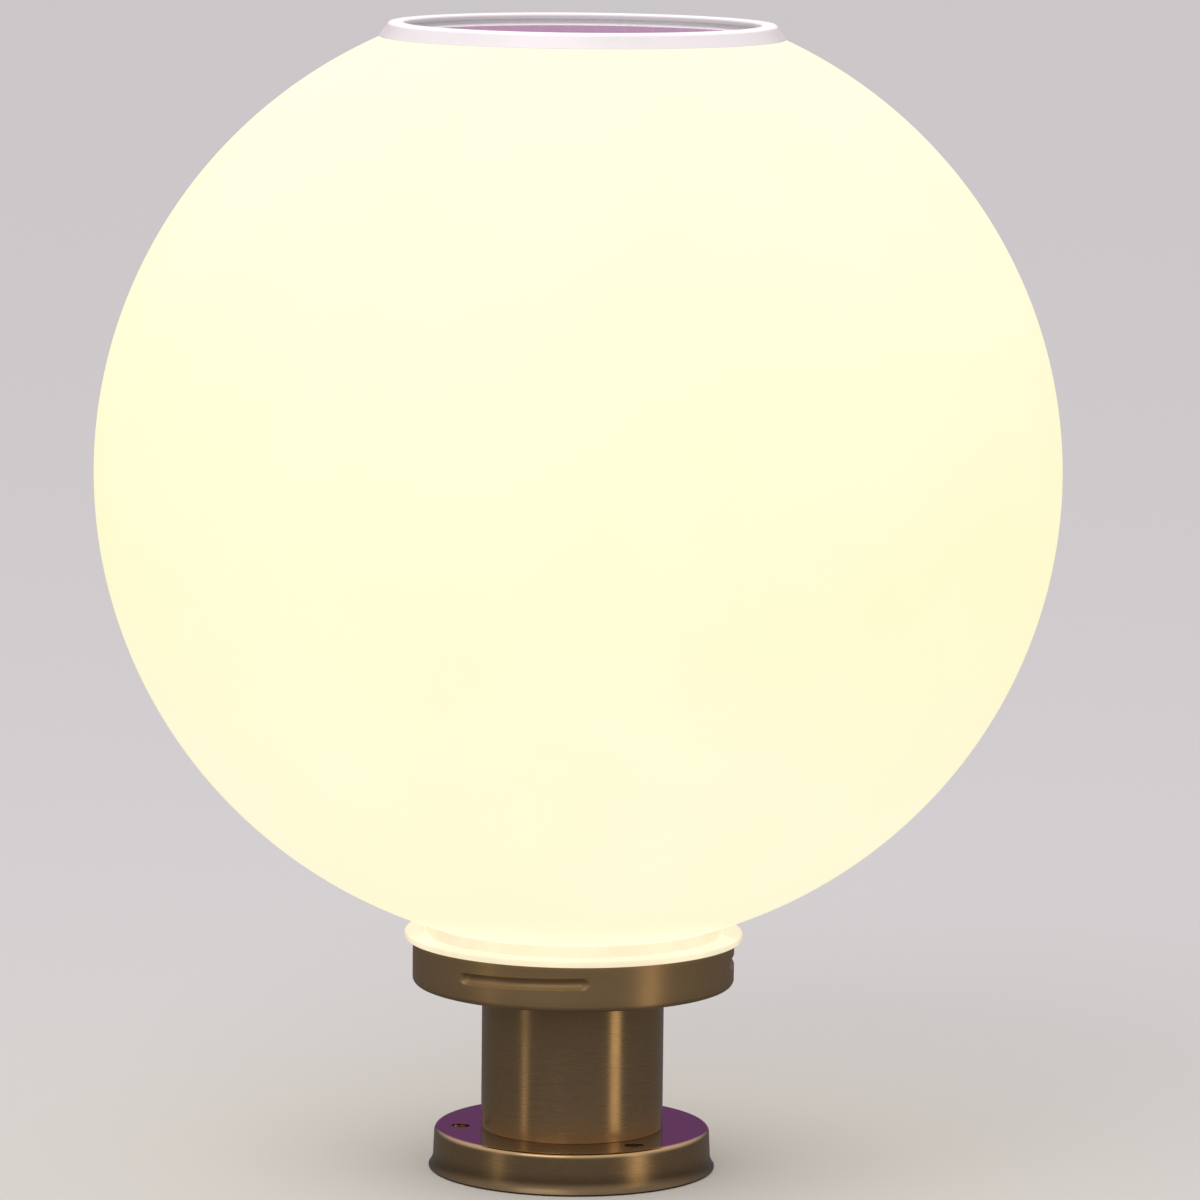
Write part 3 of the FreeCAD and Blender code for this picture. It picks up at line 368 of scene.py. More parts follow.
class Socket:
    """What a node gives. Sums of sockets and numbers add the Math nodes that work them out."""

    def __init__(self, finish, socket):
        self.finish, self.socket = finish, socket

    def math(self, operation, *others):
        return self.finish.math(operation, self, *others)

    def __add__(self, other):
        return self.math("ADD", other)

    def __sub__(self, other):
        return self.math("SUBTRACT", other)

    def __rsub__(self, other):
        return self.finish.math("SUBTRACT", other, self)

    def __mul__(self, other):
        return self.math("MULTIPLY", other)

    def __truediv__(self, other):
        return self.math("DIVIDE", other)

    def __pow__(self, other):
        return self.math("POWER", other)

    def __abs__(self):
        return self.math("ABSOLUTE")

    def __lt__(self, other):
        return self.math("LESS_THAN", other)

    __radd__, __rmul__ = __add__, __mul__

    def off_middle(self, step):
        """Distance from the middle of the strip of that width that a place lies in."""
        return abs((self / step).math("FRACT") - 0.5) * step

    def spread(self, low_end, high_end, to_low=0.0, to_high=1.0):
        """Maps one range to another, smoothly, and clamps it."""
        return self.finish.node(
            "ShaderNodeMapRange",
            {"interpolation_type": "SMOOTHSTEP"},
            {0: self, 1: low_end, 2: high_end, 3: to_low, 4: to_high},
        )


class Finish:
    """A material with one Principled BSDF. Keywords set its sockets, with _ for each space."""

    def __init__(self, name, colour, **settings):
        self.material = bpy.data.materials.new(name)
        self.material.use_nodes = True
        self.tree = self.material.node_tree
        self.shader = next(n for n in self.tree.nodes if n.type == "BSDF_PRINCIPLED")
        self.set(Base_Color=colour, **settings)
        self.place = self.node("ShaderNodeTexCoord", out="Object")

    def node(self, kind, settings=None, sockets=None, out=0):
        """Adds a node: its settings first, then the values or links of its sockets."""
        added = self.tree.nodes.new(kind)
        for name, value in (settings or {}).items():
            setattr(added, name, value)
        for name, value in (sockets or {}).items():
            self.feed(added.inputs[name], value)
        return Socket(self, added.outputs[out])

    def math(self, operation, *parts):
        return self.node("ShaderNodeMath", {"operation": operation}, dict(enumerate(parts)))

    def feed(self, socket, value):
        if isinstance(value, Socket):
            self.tree.links.new(value.socket, socket)
        elif socket.type == "RGBA" and len(value) == 3:
            socket.default_value = (*value, 1)
        else:
            socket.default_value = value

    def set(self, **sockets):
        for name, value in sockets.items():
            self.feed(self.shader.inputs[name.replace("_", " ")], value)
        return self

    def split(self, vector):
        """The three parts of a vector."""
        apart = self.node("ShaderNodeSeparateXYZ", sockets={0: vector})
        node = apart.socket.node
        return [Socket(self, node.outputs[axis]) for axis in range(3)]

    def vector(self, x, y, z):
        return self.node("ShaderNodeCombineXYZ", sockets={0: x, 1: y, 2: z})

    def noise(self, scale, detail=3.0, roughness=0.55, vector=None):
        """Noise from 0 to 1 with a given number of lumps in a metre."""
        sockets = {"Vector": vector or self.place, "Scale": scale, "Detail": detail, "Roughness": roughness}
        return self.node("ShaderNodeTexNoise", sockets=sockets)

    def cells(self, scale):
        """Distance to the nearest of a cloud of points."""
        return self.node("ShaderNodeTexVoronoi", sockets={"Vector": self.place, "Scale": scale})

    def blend(self, factor, first, second):
        """Mixes two colours."""
        return self.node("ShaderNodeMix", {"data_type": "RGBA"}, {0: factor, 6: first, 7: second}, out=2)

    def bump(self, height, distance, strength=1.0):
        sockets = {"Height": height, "Distance": distance, "Strength": strength}
        return self.set(Normal=self.node("ShaderNodeBump", sockets=sockets))

    def grained(self, grain, dark, pale, roughness, depth, strength=0.5):
        """Lets one pattern change the colour, the roughness and the height."""
        self.set(Base_Color=self.blend(grain, dark, pale), Roughness=grain.spread(0.3, 0.7, *roughness))
        return self.bump(grain, depth * MM, strength)

    def streaks(self, scale, stretch):
        """Noise drawn out along X."""
        mapping = self.node("ShaderNodeMapping", sockets={0: self.place, 3: (stretch, 1, 1)})
        return self.noise(scale, 3, 0.6, mapping)

    def turning(self):
        """Radius, angle and height round the lamp's axis, the angle's jump being at the back."""
        x, y, z = self.split(self.place)
        return (x * x + y * y) ** 0.5, x.math("ARCTAN2", 0 - y), z


def tinted(shade, factor):
    return tuple(min(1.0, part * factor) for part in shade)


FINISHES = {}


def finish(maker):
    """Makes a finish once and gives the same material each time."""
    if maker.__name__ not in FINISHES:
        FINISHES[maker.__name__] = maker().material
    return FINISHES[maker.__name__]


# ---------------------------------------------------------------- finishes


def opal_plastic():
    """Lit opal plastic: a cream glow with soft clouds in the wall. The glow is a little whiter near the top,
    which is painted light from above, and paler towards the bottom as well.
    """
    strength = lamp().glow_strength
    look = Finish("opal_plastic", lamp().opal, Emission_Strength=strength, Specular_IOR_Level=0.25)
    rise = look.split(look.place)[2].spread(low("globe_shell").z, high("globe_shell").z)
    warm, pale = lamp().glow, (1.0, 0.96, 0.72)
    clouds = look.noise(9, detail=2).spread(0.3, 0.7, -0.12, 0.12)
    # the glow is paler towards the bottom
    foot = rise.spread(0.0, 0.45, 0.55, 0.0)
    look.set(
        # rise**1.6 * 0.5 whitens the glow near the top: painted light from above
        Emission_Color=look.blend(rise**1.6 * 0.5 + foot + clouds, warm, pale),
        Roughness=look.noise(40).spread(0.3, 0.7, 0.4, 0.5),
        Base_Color=look.blend(look.noise(30).spread(0.3, 0.7), lamp().opal, tinted(lamp().opal, 1.05)),
    )
    return look.bump(look.noise(55, detail=1.0) + look.noise(1400, detail=2) * 0.06, 0.12 * MM, 0.35)


def opal_ring():
    """The neck ring's opal plastic: it glows less, most near the globe."""
    look = Finish("opal_ring", lamp().opal, Roughness=0.34, Emission_Strength=lamp().glow_strength)
    height = look.split(look.place)[2]
    near = height.spread(high("collar_cup").z - 6 * MM, high("collar_cup").z + MM, 0.3, 0.97)
    clouds = look.noise(60, 2).spread(0.3, 0.7, -0.06, 0.06)
    look.set(
        Emission_Color=look.blend(near + clouds, (0, 0, 0), (1.0, 0.88, 0.59)),
        Coat_Weight=look.noise(40).spread(0.3, 0.7, 0.2, 0.35),
        Base_Color=look.blend(look.noise(300).spread(0.3, 0.7), lamp().opal, tinted(lamp().opal, 0.94)),
    )
    return look.bump(look.noise(1400, 2), 0.02 * MM, 0.35)


def brushed_steel():
    """Brushed stainless steel, its fine lines running round the lamp. Its colour is darker and browner than
    bare steel: a painted reflection of dark, warm surroundings.
    """
    look = Finish("brushed_steel", lamp().steel, Metallic=1.0, Anisotropic=0.8, Anisotropic_Rotation=0.25)
    radius, way, height = look.turning()
    lines = look.vector(way * 0.001, height, radius)
    fine, coarse = look.noise(4200, 3, 0.7, lines), look.noise(700, 3, 0.6, lines)
    smudge = look.noise(38, 4)
    shade = look.blend(fine, tinted(lamp().steel, 0.93), tinted(lamp().steel, 1.08))
    shade = look.blend(smudge.spread(0.35, 0.75, 0, 0.35), shade, tinted(lamp().steel, 0.8))
    rough = lamp().steel_roughness
    scuffs = look.noise(900, 3).spread(0.62, 0.8)
    on_collar = height.spread(low("collar_cup").z - 0.2 * MM, low("collar_cup").z)
    look.set(
        Base_Color=shade,
        Roughness=fine.spread(0.2, 0.8, rough - 0.05, rough + 0.07)
        + smudge.spread(0.4, 0.7, 0, 0.06)
        + scuffs * 0.05
        + on_collar * 0.17,
    )
    return look.bump(fine * 0.7 + coarse * 0.3, 0.004 * MM, 0.25)


def polished_steel():
    """The foot: bright-rolled steel, brushed less and glossy on top. Its rounded edge, wall and lip carry a
    painted highlight, and its lowest 8 mm, with the flare of its lip, is painted dark: a painted reflection
    of dark ground.
    """
    look = Finish("foot_steel", lamp().steel, Metallic=1.0)
    radius, way, height = look.turning()
    fine = look.noise(3600, 3, 0.7, look.vector(way * 0.001, height, radius))
    top = height.spread(high("foot_dish").z - 1.2 * MM, high("foot_dish").z - 0.4 * MM)
    dust = look.noise(260, 5).spread(0.5, 0.75)
    shade = look.blend(fine, tinted(lamp().steel, 0.75), tinted(lamp().steel, 0.95))
    edge = radius.spread(radius_of("foot_dish") - 3.4 * MM, radius_of("foot_dish") - 2.4 * MM)
    # the lowest 8 mm is painted dark: painted shade, a dark reflection of the ground
    flare = 1 - height.spread(0, 8 * MM)
    # painted highlight: the rounded top edge, and the wall and lip outside it, are painted brighter
    shade = look.blend(edge * 0.25, shade, tinted(lamp().steel, 1.5))
    look.set(
        Base_Color=look.blend(flare * 0.9, shade, tinted(lamp().steel, 0.25)),
        Roughness=fine.spread(0.2, 0.8, 0.24, 0.32) - top * 0.19 + dust * 0.04,
    )
    return look.bump(fine, 0.004 * MM, 0.3)


def zinc_plate():
    """Bright zinc with its crystal clouds and a few dull spots."""
    look = Finish("zinc_plate", (0.62, 0.63, 0.65), Metallic=1.0)
    clouds = look.noise(210, 4)
    spots = look.noise(1500, 3).spread(0.6, 0.75)
    shade = look.blend(clouds, (0.52, 0.53, 0.57), (0.74, 0.73, 0.70))
    look.set(
        Base_Color=look.blend(spots * 0.4, shade, (0.36, 0.35, 0.33)),
        Roughness=clouds.spread(0.3, 0.7, 0.2, 0.38) + spots * 0.2,
    )
    return look.bump(look.noise(2600, 3), 0.02 * MM, 0.4)


def nickel_plate():
    """Nickel-plated spring steel with drawing marks."""
    look = Finish("nickel_plate", (0.66, 0.62, 0.56), Metallic=1.0)
    marks = look.streaks(900, 0.1)
    return look.grained(marks, (0.58, 0.54, 0.48), (0.76, 0.73, 0.68), (0.16, 0.3), 0.01, 0.4)


def seal_rubber():
    look = Finish("seal_rubber", (0.02, 0.02, 0.021))
    bloom = look.noise(420, 4).spread(0.45, 0.75)
    look.set(
        Base_Color=look.blend(bloom, (0.016, 0.016, 0.017), (0.045, 0.044, 0.043)),
        Roughness=bloom.spread(0, 1, 0.5, 0.72),
    )
    return look.bump(look.noise(5200, 2), 0.02 * MM, 0.5)


def white_plastic():
    """Moulded white plastic, a little dust in its fine texture. It has a painted glow: dim over the whole
    bezel and bright on its flat top, as painted light from above.
    """
    # the emission is a painted glow, not a lamp
    look = Finish("white_plastic", lamp().white, Coat_Roughness=0.15, Emission_Strength=0.5)
    grain = look.noise(3200, 2)
    dust = look.noise(150, 5).spread(0.55, 0.8)
    top = high("bezel_ring").z
    # the flat top glows brightest: painted light from above
    rim = look.split(look.place)[2].spread(top - 1 * MM, top - 0.3 * MM)
    look.set(
        Base_Color=look.blend(dust * 0.25, lamp().white, (0.66, 0.63, 0.62)),
        Roughness=grain.spread(0.3, 0.7, 0.26, 0.36) + dust * 0.15,
        Coat_Weight=(1 - dust) * 0.3,
        Emission_Color=look.blend(rim, (0.3, 0.26, 0.27), (1.0, 0.95, 0.97)),
    )
    return look.bump(grain + look.noise(90, 2) * 2, 0.01 * MM, 0.35)


def housing_plastic():
    """Off-white moulded plastic with a spark-eroded texture."""
    look = Finish("housing_plastic", lamp().housing)
    grain, flow = look.noise(2300, 3), look.noise(45, 3)
    look.set(
        Base_Color=look.blend(flow, tinted(lamp().housing, 0.94), tinted(lamp().housing, 1.04)),
        Roughness=grain.spread(0.3, 0.7, 0.42, 0.56),
    )
    return look.bump(grain + look.cells(1500) * 0.4, 0.03 * MM, 0.5)


def panel_cover():
    """Clear cover of the panel: glossy, with a faint haze of dust."""
    look = Finish("panel_cover", (0.86, 0.88, 0.92), Transmission_Weight=1.0, IOR=1.5)
    dust = look.noise(180, 5).spread(0.5, 0.8)
    look.set(
        Base_Color=look.blend(dust, (0.90, 0.92, 0.96), (0.74, 0.74, 0.76)),
        Roughness=dust.spread(0, 1, 0.015, 0.09),
    )
    return look.bump(look.noise(30, 1), 0.05 * MM, 0.15)


def clear_plastic():
    """Clear moulded cover of the light, faintly frosted."""
    look = Finish("clear_plastic", (0.93, 0.93, 0.90), Transmission_Weight=0.9, IOR=1.49)
    frost = look.noise(900, 3)
    look.set(Roughness=frost.spread(0.3, 0.7, 0.08, 0.2))
    return look.bump(look.noise(160, 2) + frost * 0.1, 0.06 * MM, 0.3)


def solar_silicon():
    """Dark blue silicon with fine silver fingers across each cell and a shade of its own per cell."""
    look = Finish("solar_silicon", lamp().cell, Coat_Weight=0.4, Coat_Roughness=0.05)
    x, y, _ = look.split(look.place)
    finger_step, finger_width = 1.5 * MM, 0.045 * MM
    finger = y.off_middle(finger_step) < finger_width
    column = (x / lamp().cell_pitch).math("FLOOR")
    shade = look.node("ShaderNodeTexWhiteNoise", {"noise_dimensions": "1D"}, {"W": column})
    grain = look.cells(260)
    tone = look.blend(shade * 0.6 + grain * 0.4, lamp().cell, tinted(lamp().cell, 2.1))
    look.set(
        Base_Color=look.blend(finger, tone, (0.55, 0.56, 0.60)),
        Metallic=finger * 0.9,
        Roughness=finger * 0.15 + 0.2,
    )
    return look.bump(finger, 0.02 * MM, 0.5)


def tinned_copper():
    look = Finish("tinned_copper", (0.70, 0.69, 0.67), Metallic=1.0)
    return look.grained(look.noise(800, 3), (0.58, 0.57, 0.55), (0.78, 0.77, 0.75), (0.2, 0.42), 0.03)


def black_laminate():
    """The panel's backing: black resin over glass weave."""
    look = Finish("black_laminate", (0.012, 0.013, 0.018), Coat_Weight=0.3, Coat_Roughness=0.1)
    x, y, _ = look.split(look.place)
    weave, weft = ((part * (FULL_TURN / (0.8 * MM))).math("SINE") for part in (x, y))
    look.set(
        Base_Color=look.blend(look.noise(300, 3), (0.010, 0.011, 0.016), (0.022, 0.023, 0.03)),
        Roughness=look.noise(700, 2).spread(0.3, 0.7, 0.25, 0.4),
    )
    return look.bump(weave * weft, 0.01 * MM, 0.3)


def green_laminate():
    """Circuit board: green resist over copper tracks."""
    look = Finish("green_laminate", (0.01, 0.10, 0.045), Coat_Weight=0.5, Coat_Roughness=0.1)
    x, y, _ = look.split(look.place)
    region = look.noise(110, 0)
    tracks_x = x.off_middle(2.2 * MM) < 0.35 * MM
    tracks_y = y.off_middle(1.7 * MM) < 0.3 * MM
    pick = region.spread(0.48, 0.52)
    tracks = tracks_x * pick + tracks_y * (1 - pick)
    look.set(
        Base_Color=look.blend(tracks * 0.6, (0.008, 0.085, 0.04), (0.03, 0.20, 0.09)),
        Roughness=look.noise(900, 2).spread(0.3, 0.7, 0.25, 0.4),
    )
    return look.bump(tracks, 0.03 * MM, 0.5)


def black_package():
    """Moulded black packages, sockets and cans on the circuit board."""
    look = Finish("black_package", (0.02, 0.02, 0.022))
    grain = look.noise(3000, 3)
    return look.grained(grain, (0.014, 0.014, 0.015), (0.035, 0.035, 0.037), (0.45, 0.6), 0.03)


def pair_of_leads(name, lean, shift):
    """Insulation of a pair of leads: black to the left of a line on the plan, and red to its right.
    The line crosses X at shift, in mm, and leans by lean."""
    look = Finish(name, (0.45, 0.02, 0.015), Coat_Weight=0.2)
    x, y, _ = look.split(look.place)
    sheen = look.noise(700, 2)
    red = look.blend(sheen, (0.38, 0.018, 0.012), (0.5, 0.03, 0.02))
    look.set(
        Base_Color=look.blend((x + y * lean) < shift * MM, red, (0.018, 0.018, 0.02)),
        Roughness=sheen.spread(0.3, 0.7, 0.35, 0.5),
    )
    return look.bump(sheen, 0.02 * MM, 0.4)


def panel_pair():
    return pair_of_leads("panel_pair", 0, -5)


def light_pair():
    return pair_of_leads("light_pair", 0.37, -2.96)


def battery_pair():
    return pair_of_leads("battery_pair", 0, -16)


def shrink_wrap():
    """Blue shrink wrap of the cell, drawn tight with long folds."""
    look = Finish("shrink_wrap", lamp().wrap, Coat_Weight=0.5, Coat_Roughness=0.08)
    dark, pale = tinted(lamp().wrap, 0.8), tinted(lamp().wrap, 1.2)
    return look.grained(look.streaks(260, 0.08), dark, pale, (0.22, 0.36), 0.04, 0.4)


def white_board():
    """White resist on the light's aluminium board."""
    look = Finish("white_board", (0.82, 0.82, 0.80), Coat_Weight=0.3, Coat_Roughness=0.15)
    grain = look.noise(900, 3)
    tracks = look.noise(140, 0).spread(0.495, 0.505)
    look.set(
        Base_Color=look.blend(tracks * 0.12, (0.84, 0.84, 0.82), (0.66, 0.66, 0.63)),
        Roughness=grain.spread(0.3, 0.7, 0.28, 0.4),
    )
    return look.bump(tracks * 2 + grain * 0.4, 0.02 * MM, 0.4)


def phosphor():
    """Yellow phosphor of the lit chips."""
    look = Finish("phosphor", (0.9, 0.62, 0.12), Emission_Strength=4.0)
    grain = look.noise(2600, 3)
    look.set(Emission_Color=look.blend(grain, (1.0, 0.80, 0.42), (1.0, 0.88, 0.6)))
    return look.grained(grain, (0.85, 0.55, 0.08), (0.95, 0.7, 0.18), (0.35, 0.5), 0.02)


def chip_frame():
    """White moulded frame round a chip's phosphor."""
    look = Finish("chip_frame", (0.85, 0.84, 0.80))
    grain = look.noise(4000, 2)
    return look.grained(grain, (0.80, 0.79, 0.74), (0.88, 0.87, 0.83), (0.3, 0.42), 0.01, 0.4)


def studio_floor():
    """Plain pale matt floor."""
    stage = bpy.context.scene.lamp_stage
    return Finish("studio_floor", stage.floor_colour, Roughness=0.9, Specular_IOR_Level=0.0)


KEPT = {
    zinc_plate: (
        *(end + part for part in ("centring_disc", "washer", "nut") for end in ("lower_", "upper_")),
        *("spring_washer", "led_cover_screws", "board_screws"),
    ),
    seal_rubber: ("globe_seal", "mouth_seal", "panel_gasket"),
    housing_plastic: ("module_housing",),
    solar_silicon: ("solar_cells",),
    black_laminate: ("panel_backing",),
    green_laminate: ("control_board",),
    black_package: ("board_components", "switch_body"),
    panel_pair: ("panel_leads",),
    light_pair: ("light_leads",),
    battery_pair: ("battery_leads",),
    nickel_plate: ("battery_contacts", "battery_spring"),
    white_board: ("led_board",),
    clear_plastic: ("led_cover",),
}


# ---------------------------------------------------------------- stand


def model_foot():
    """The dished foot: flat top, rounded edge, flared lip, screw holes and rod hole."""
    top, lip = high("foot_dish").z, radius_of("foot_dish")
    wall, sheet = lip - 1.7 * MM, lamp().foot_sheet
    corner, flare, flare_bend, edge, draft = 1.6 * MM, 5.0 * MM, 6.4 * MM, 0.6 * MM, 0.3 * MM
    rod_hole = radius_of("tie_rod") + 0.3 * MM
    points = outline(
        (rod_hole, top),
        (wall - corner, top, corner, 1),
        (wall, top - corner),
        (wall + draft, flare, flare_bend, -1),
        (lip, edge, edge, 1),
        (lip - edge, 0),
        (wall, 0),
        (wall + draft - sheet, flare),
        (wall - sheet, top - corner, corner - sheet, -1),
        (wall - corner, top - sheet),
        (rod_hole, top - sheet),
    )
    foot = turned("steel_foot", points, lamp().ring_steps)
    for third in THIRDS:
        way = lamp().hole_turn + math.radians(third)
        spot = Vector((math.cos(way), math.sin(way), 0)) * lamp().hole_circle
        shape = {"vertices": 48, "radius": lamp().hole, "depth": 6 * sheet}
        place = spot + Vector((0, 0, top))
        cut_away(foot, start("drill", bpy.ops.mesh.primitive_cylinder_add, location=place, **shape))
    round_edges(foot, 0.18 * MM, 3, over=60)
    return dress(foot, "stand", "brushed_steel", finish(polished_steel), ["foot_dish"])


def model_column():
    """The column tube, its cut ends lightly rounded."""
    outer, bottom, top = radius_of("column_tube"), low("column_tube").z, high("column_tube").z
    inner = outer - 1.0 * MM
    rows = 12
    outside = [Vector((outer, bottom + (top - bottom) * row / rows)) for row in range(rows + 1)]
    points = [*outside, Vector((inner, top)), Vector((inner, bottom))]
    column = turned("steel_column", points, lamp().ring_steps)
    round_edges(column, 0.2 * MM, 3, over=60)
    return dress(column, "stand", "brushed_steel", finish(brushed_steel), ["column_tube"])


def bead_way(point):
    """The angle round the lamp from the middle of the nearest bead to a point."""
    third = FULL_TURN / len(THIRDS)
    way = math.atan2(point.y, point.x) - lamp().bead_turn
    return (way + third / 2) % third - third / 2


def bead_climb(way):
    """How far above its middle a bead runs at an angle."""
    return radius_of("collar_cup") * math.sin(way) * math.sin(lamp().bead_slope)


def bead_weight(point):
    """How deep the collar is rolled in at a point: 1 in the middle of a bead and 0 outside it."""
    settings = lamp()
    way = bead_way(point)
    across = point.z - (high("collar_cup").z - settings.bead_drop + bead_climb(way))
    past = max(abs(way) - settings.bead_arc / 2, 0) * radius_of("collar_cup")
    share = math.hypot(across, past) / settings.bead_half
    return (1 - share**2) ** 0.75 if share < 1 else 0.0


def displace(piece, weights, strength, direction):
    """Moves a piece's points by their weights times a strength."""
    group = piece.vertex_groups.new(name="weights")
    for index, weight in weights.items():
        group.add([index], weight, "REPLACE")
    settings = {"vertex_group": group.name, "strength": strength, "direction": direction}
    add_modifier(piece, "DISPLACE", mid_level=0, **settings)
    piece.vertex_groups.clear()


def lean_rows(collar, middle, reach):
    """Leans the rows of faces near the beads, so that they run along each bead's slope."""
    half_third = FULL_TURN / len(THIRDS) / 2
    most, straight, fade = bead_climb(half_third), 0.6 * lamp().bead_arc, 3
    leans = {}
    for vertex in collar.data.vertices:
        across = abs(vertex.co.z - middle) / reach
        if across < 1:
            way = bead_way(vertex.co)
            turn_back = min((half_third - abs(way)) / (half_third - straight), 1)
            leans[vertex.index] = bead_climb(way) / most * turn_back * min((1 - across) * fade, 1)
    for sign in (1, -1):
        weights = {index: abs(lean) for index, lean in leans.items() if lean * sign > 0}
        displace(collar, weights, sign * most, "Z")


def model_collar():
    """The collar cup: a pressed sheet with three rolled beads that slope like a thread."""
    settings = lamp()
    outer, bottom, rim = radius_of("collar_cup"), low("collar_cup").z, high("collar_cup").z
    corner, row, reach, rod_hole = 1.8 * MM, 0.2 * MM, 4.2 * MM, radius_of("tie_rod") + 0.3 * MM
    line = rim - settings.bead_drop
    count = round(2 * reach / row)
    rows = [Vector((outer, line - reach + 2 * reach * step / count)) for step in range(count + 1)]
    rounded = outline((rod_hole, bottom), (outer - corner, bottom, corner, -1), (outer, bottom + corner))
    points = [*rounded, *rows, Vector((outer, rim))]
    collar = turned("steel_collar", points, settings.collar_steps, closed=False)
    lean_rows(collar, line, reach)
    side = next(p for p in collar.data.polygons if p.center.z > line - reach)
    if side.normal.dot(side.center * Vector((1, 1, 0))) < 0:
        raise RuntimeError("the collar's faces point inwards")
    depths = {v.index: bead_weight(v.co) for v in collar.data.vertices if v.co.z > line - reach}
    depths = {index: depth for index, depth in depths.items() if depth}
    displace(collar, depths, -settings.bead_depth, "NORMAL")
    add_modifier(collar, "SOLIDIFY", thickness=settings.collar_sheet, offset=-1)
    round_edges(collar, 0.22 * MM, 3, over=60)
    return dress(collar, "stand", "brushed_steel", finish(brushed_steel), ["collar_cup"], smooth=50)


def model_rod():
    """The M8 rod: one turn of thread, stacked by Screw and cut square at both ends."""
    bottom, top, crest = low("tie_rod").z, high("tie_rod").z, radius_of("tie_rod")
    pitch = lamp().thread_pitch
    root = crest - 0.61 * pitch
    turns = math.ceil((top - bottom) / pitch) + 2
    piece = start("threaded_rod", bpy.ops.mesh.primitive_plane_add, size=MM)
    open_edit()
    bpy.ops.mesh.merge(type="CENTER")
    bpy.ops.transform.translate(value=(root, 0, bottom - pitch))
    depth = crest - root
    for out, share in ((0, 0.25), (depth, 0.3125), (0, 0.125), (-depth, 0.3125)):
        bpy.ops.mesh.extrude_region_move(TRANSFORM_OT_translate={"value": (out, 0, pitch * share)})
    close_edit()
    add_modifier(
        piece,
        "SCREW",
        angle=FULL_TURN,
        screw_offset=pitch,
        iterations=turns,
        steps=32,
        render_steps=32,
        use_merge_vertices=True,
        merge_threshold=MM / 200,
    )
    hold(piece)
    open_edit()
    for height, normal in ((bottom, (0, 0, -1)), (top, (0, 0, 1))):
        bpy.ops.mesh.select_all(action="SELECT")
        bpy.ops.mesh.bisect(plane_co=(0, 0, height), plane_no=normal, use_fill=True, clear_outer=True)
    bpy.ops.mesh.select_all(action="SELECT")
    bpy.ops.mesh.normals_make_consistent(inside=False)
    close_edit()
    return dress(piece, "stand", "plated_hardware", finish(zinc_plate), ["tie_rod"], smooth=40)


# ---------------------------------------------------------------- globe


def globe_form():
    """Half width, half height and middle of the globe's ellipsoid, from its box and its two openings."""
    wide = radius_of("globe_shell")
    mouth_rise, throat_rise = (math.sqrt(1 - (r / wide) ** 2) for r in (lamp().mouth, lamp().throat))
    tall = (high("globe_shell").z - low("globe_shell").z) / (mouth_rise + throat_rise)
    return wide, tall, high("globe_shell").z - tall * mouth_rise


def globe_height(radius, side):
    """Height of the globe's outside at a radius, on its upper (1) or lower (-1) half."""
    wide, tall, centre = globe_form()
    return centre + side * tall * math.sqrt(1 - (radius / wide) ** 2)


def model_globe():
    """The globe's shell: two ellipsoids a wall apart, open at mouth and throat."""
    wide, tall, centre = globe_form()
    mouth, throat, wall = lamp().mouth, lamp().throat, lamp().globe_wall

    def arc(width, height, rows):
        first, last = math.acos(mouth / width), -math.acos(throat / width)
        ways = [first + (last - first) * row / rows for row in range(rows + 1)]
        return [Vector((width * math.cos(w), centre + height * math.sin(w))) for w in ways]

    points = arc(wide, tall, 110) + arc(wide - wall, tall - wall, 56)[::-1]
    globe = turned("opal_globe", points, lamp().globe_steps)
    round_edges(globe, 0.3 * MM, 3, over=50)
    dress(globe, "globe", "opal_plastic", finish(opal_plastic), ["globe_shell"], smooth=45)


def model_neck():
    """The neck ring: flange on the collar, spigot in the globe, skirt in the collar, and three ribs."""
    rim, top, bottom = high("collar_cup").z, high("neck_ring").z, low("neck_ring").z
    flange, flange_top, edge = radius_of("neck_ring"), rim + 2.0 * MM, 0.6 * MM
    neck, spigot, skirt, gap = 46.8 * MM, 44.1 * MM, 47.3 * MM, 0.05 * MM
    spigot_bore, skirt_bore, cone_low, cone_high = 42.0 * MM, 44.5 * MM, 5 * MM, 2 * MM
    points = outline(
        (spigot_bore, top),
        (spigot, top),
        (spigot, globe_height(spigot, -1) - gap),
        (neck, globe_height(neck, -1) - gap),
        (neck, flange_top),
        (flange - edge, flange_top, edge, 1),
        (flange, flange_top - edge),
        (flange, rim + edge, edge, 1),
        (flange - edge, rim),
        (skirt, rim),
        (skirt, bottom),
        (skirt_bore, bottom),
        (skirt_bore, rim - cone_low),
        (spigot_bore, rim - cone_high),
    )
    ring = turned("opal_neck_ring", points, lamp().ring_steps)
    round_edges(ring, 0.15 * MM, 2, over=50)
    rib_drop, rib_half, rib_outside = 3.7 * MM, 1.0 * MM, 49.1 * MM
    rib_arc, rib_steps = math.radians(40), 24
    corners = ((skirt - MM, -1), (rib_outside, -1), (rib_outside, 1), (skirt - MM, 1))
    section = [Vector((radius, side * rib_half)) for radius, side in corners]
    for third in THIRDS:
        rib = drawn("rib", section)
        bpy.ops.mesh.edge_face_add()
        bpy.ops.mesh.spin(steps=rib_steps, angle=rib_arc, center=(0, 0, 0), axis=UP)
        weld()
        height = rim - lamp().bead_drop - rib_drop
        rib.matrix_world = (
            Matrix.Translation((0, 0, height))
            @ Matrix.Rotation(lamp().bead_turn + math.radians(third), 4, "Z")
            @ Matrix.Rotation(lamp().bead_slope, 4, "X")
            @ Matrix.Rotation(-rib_arc / 2, 4, "Z")
        )
        combine(ring, rib)
    dress(ring, "globe", "opal_plastic", finish(opal_ring), ["neck_ring"], smooth=40)


# ---------------------------------------------------------------- solar unit


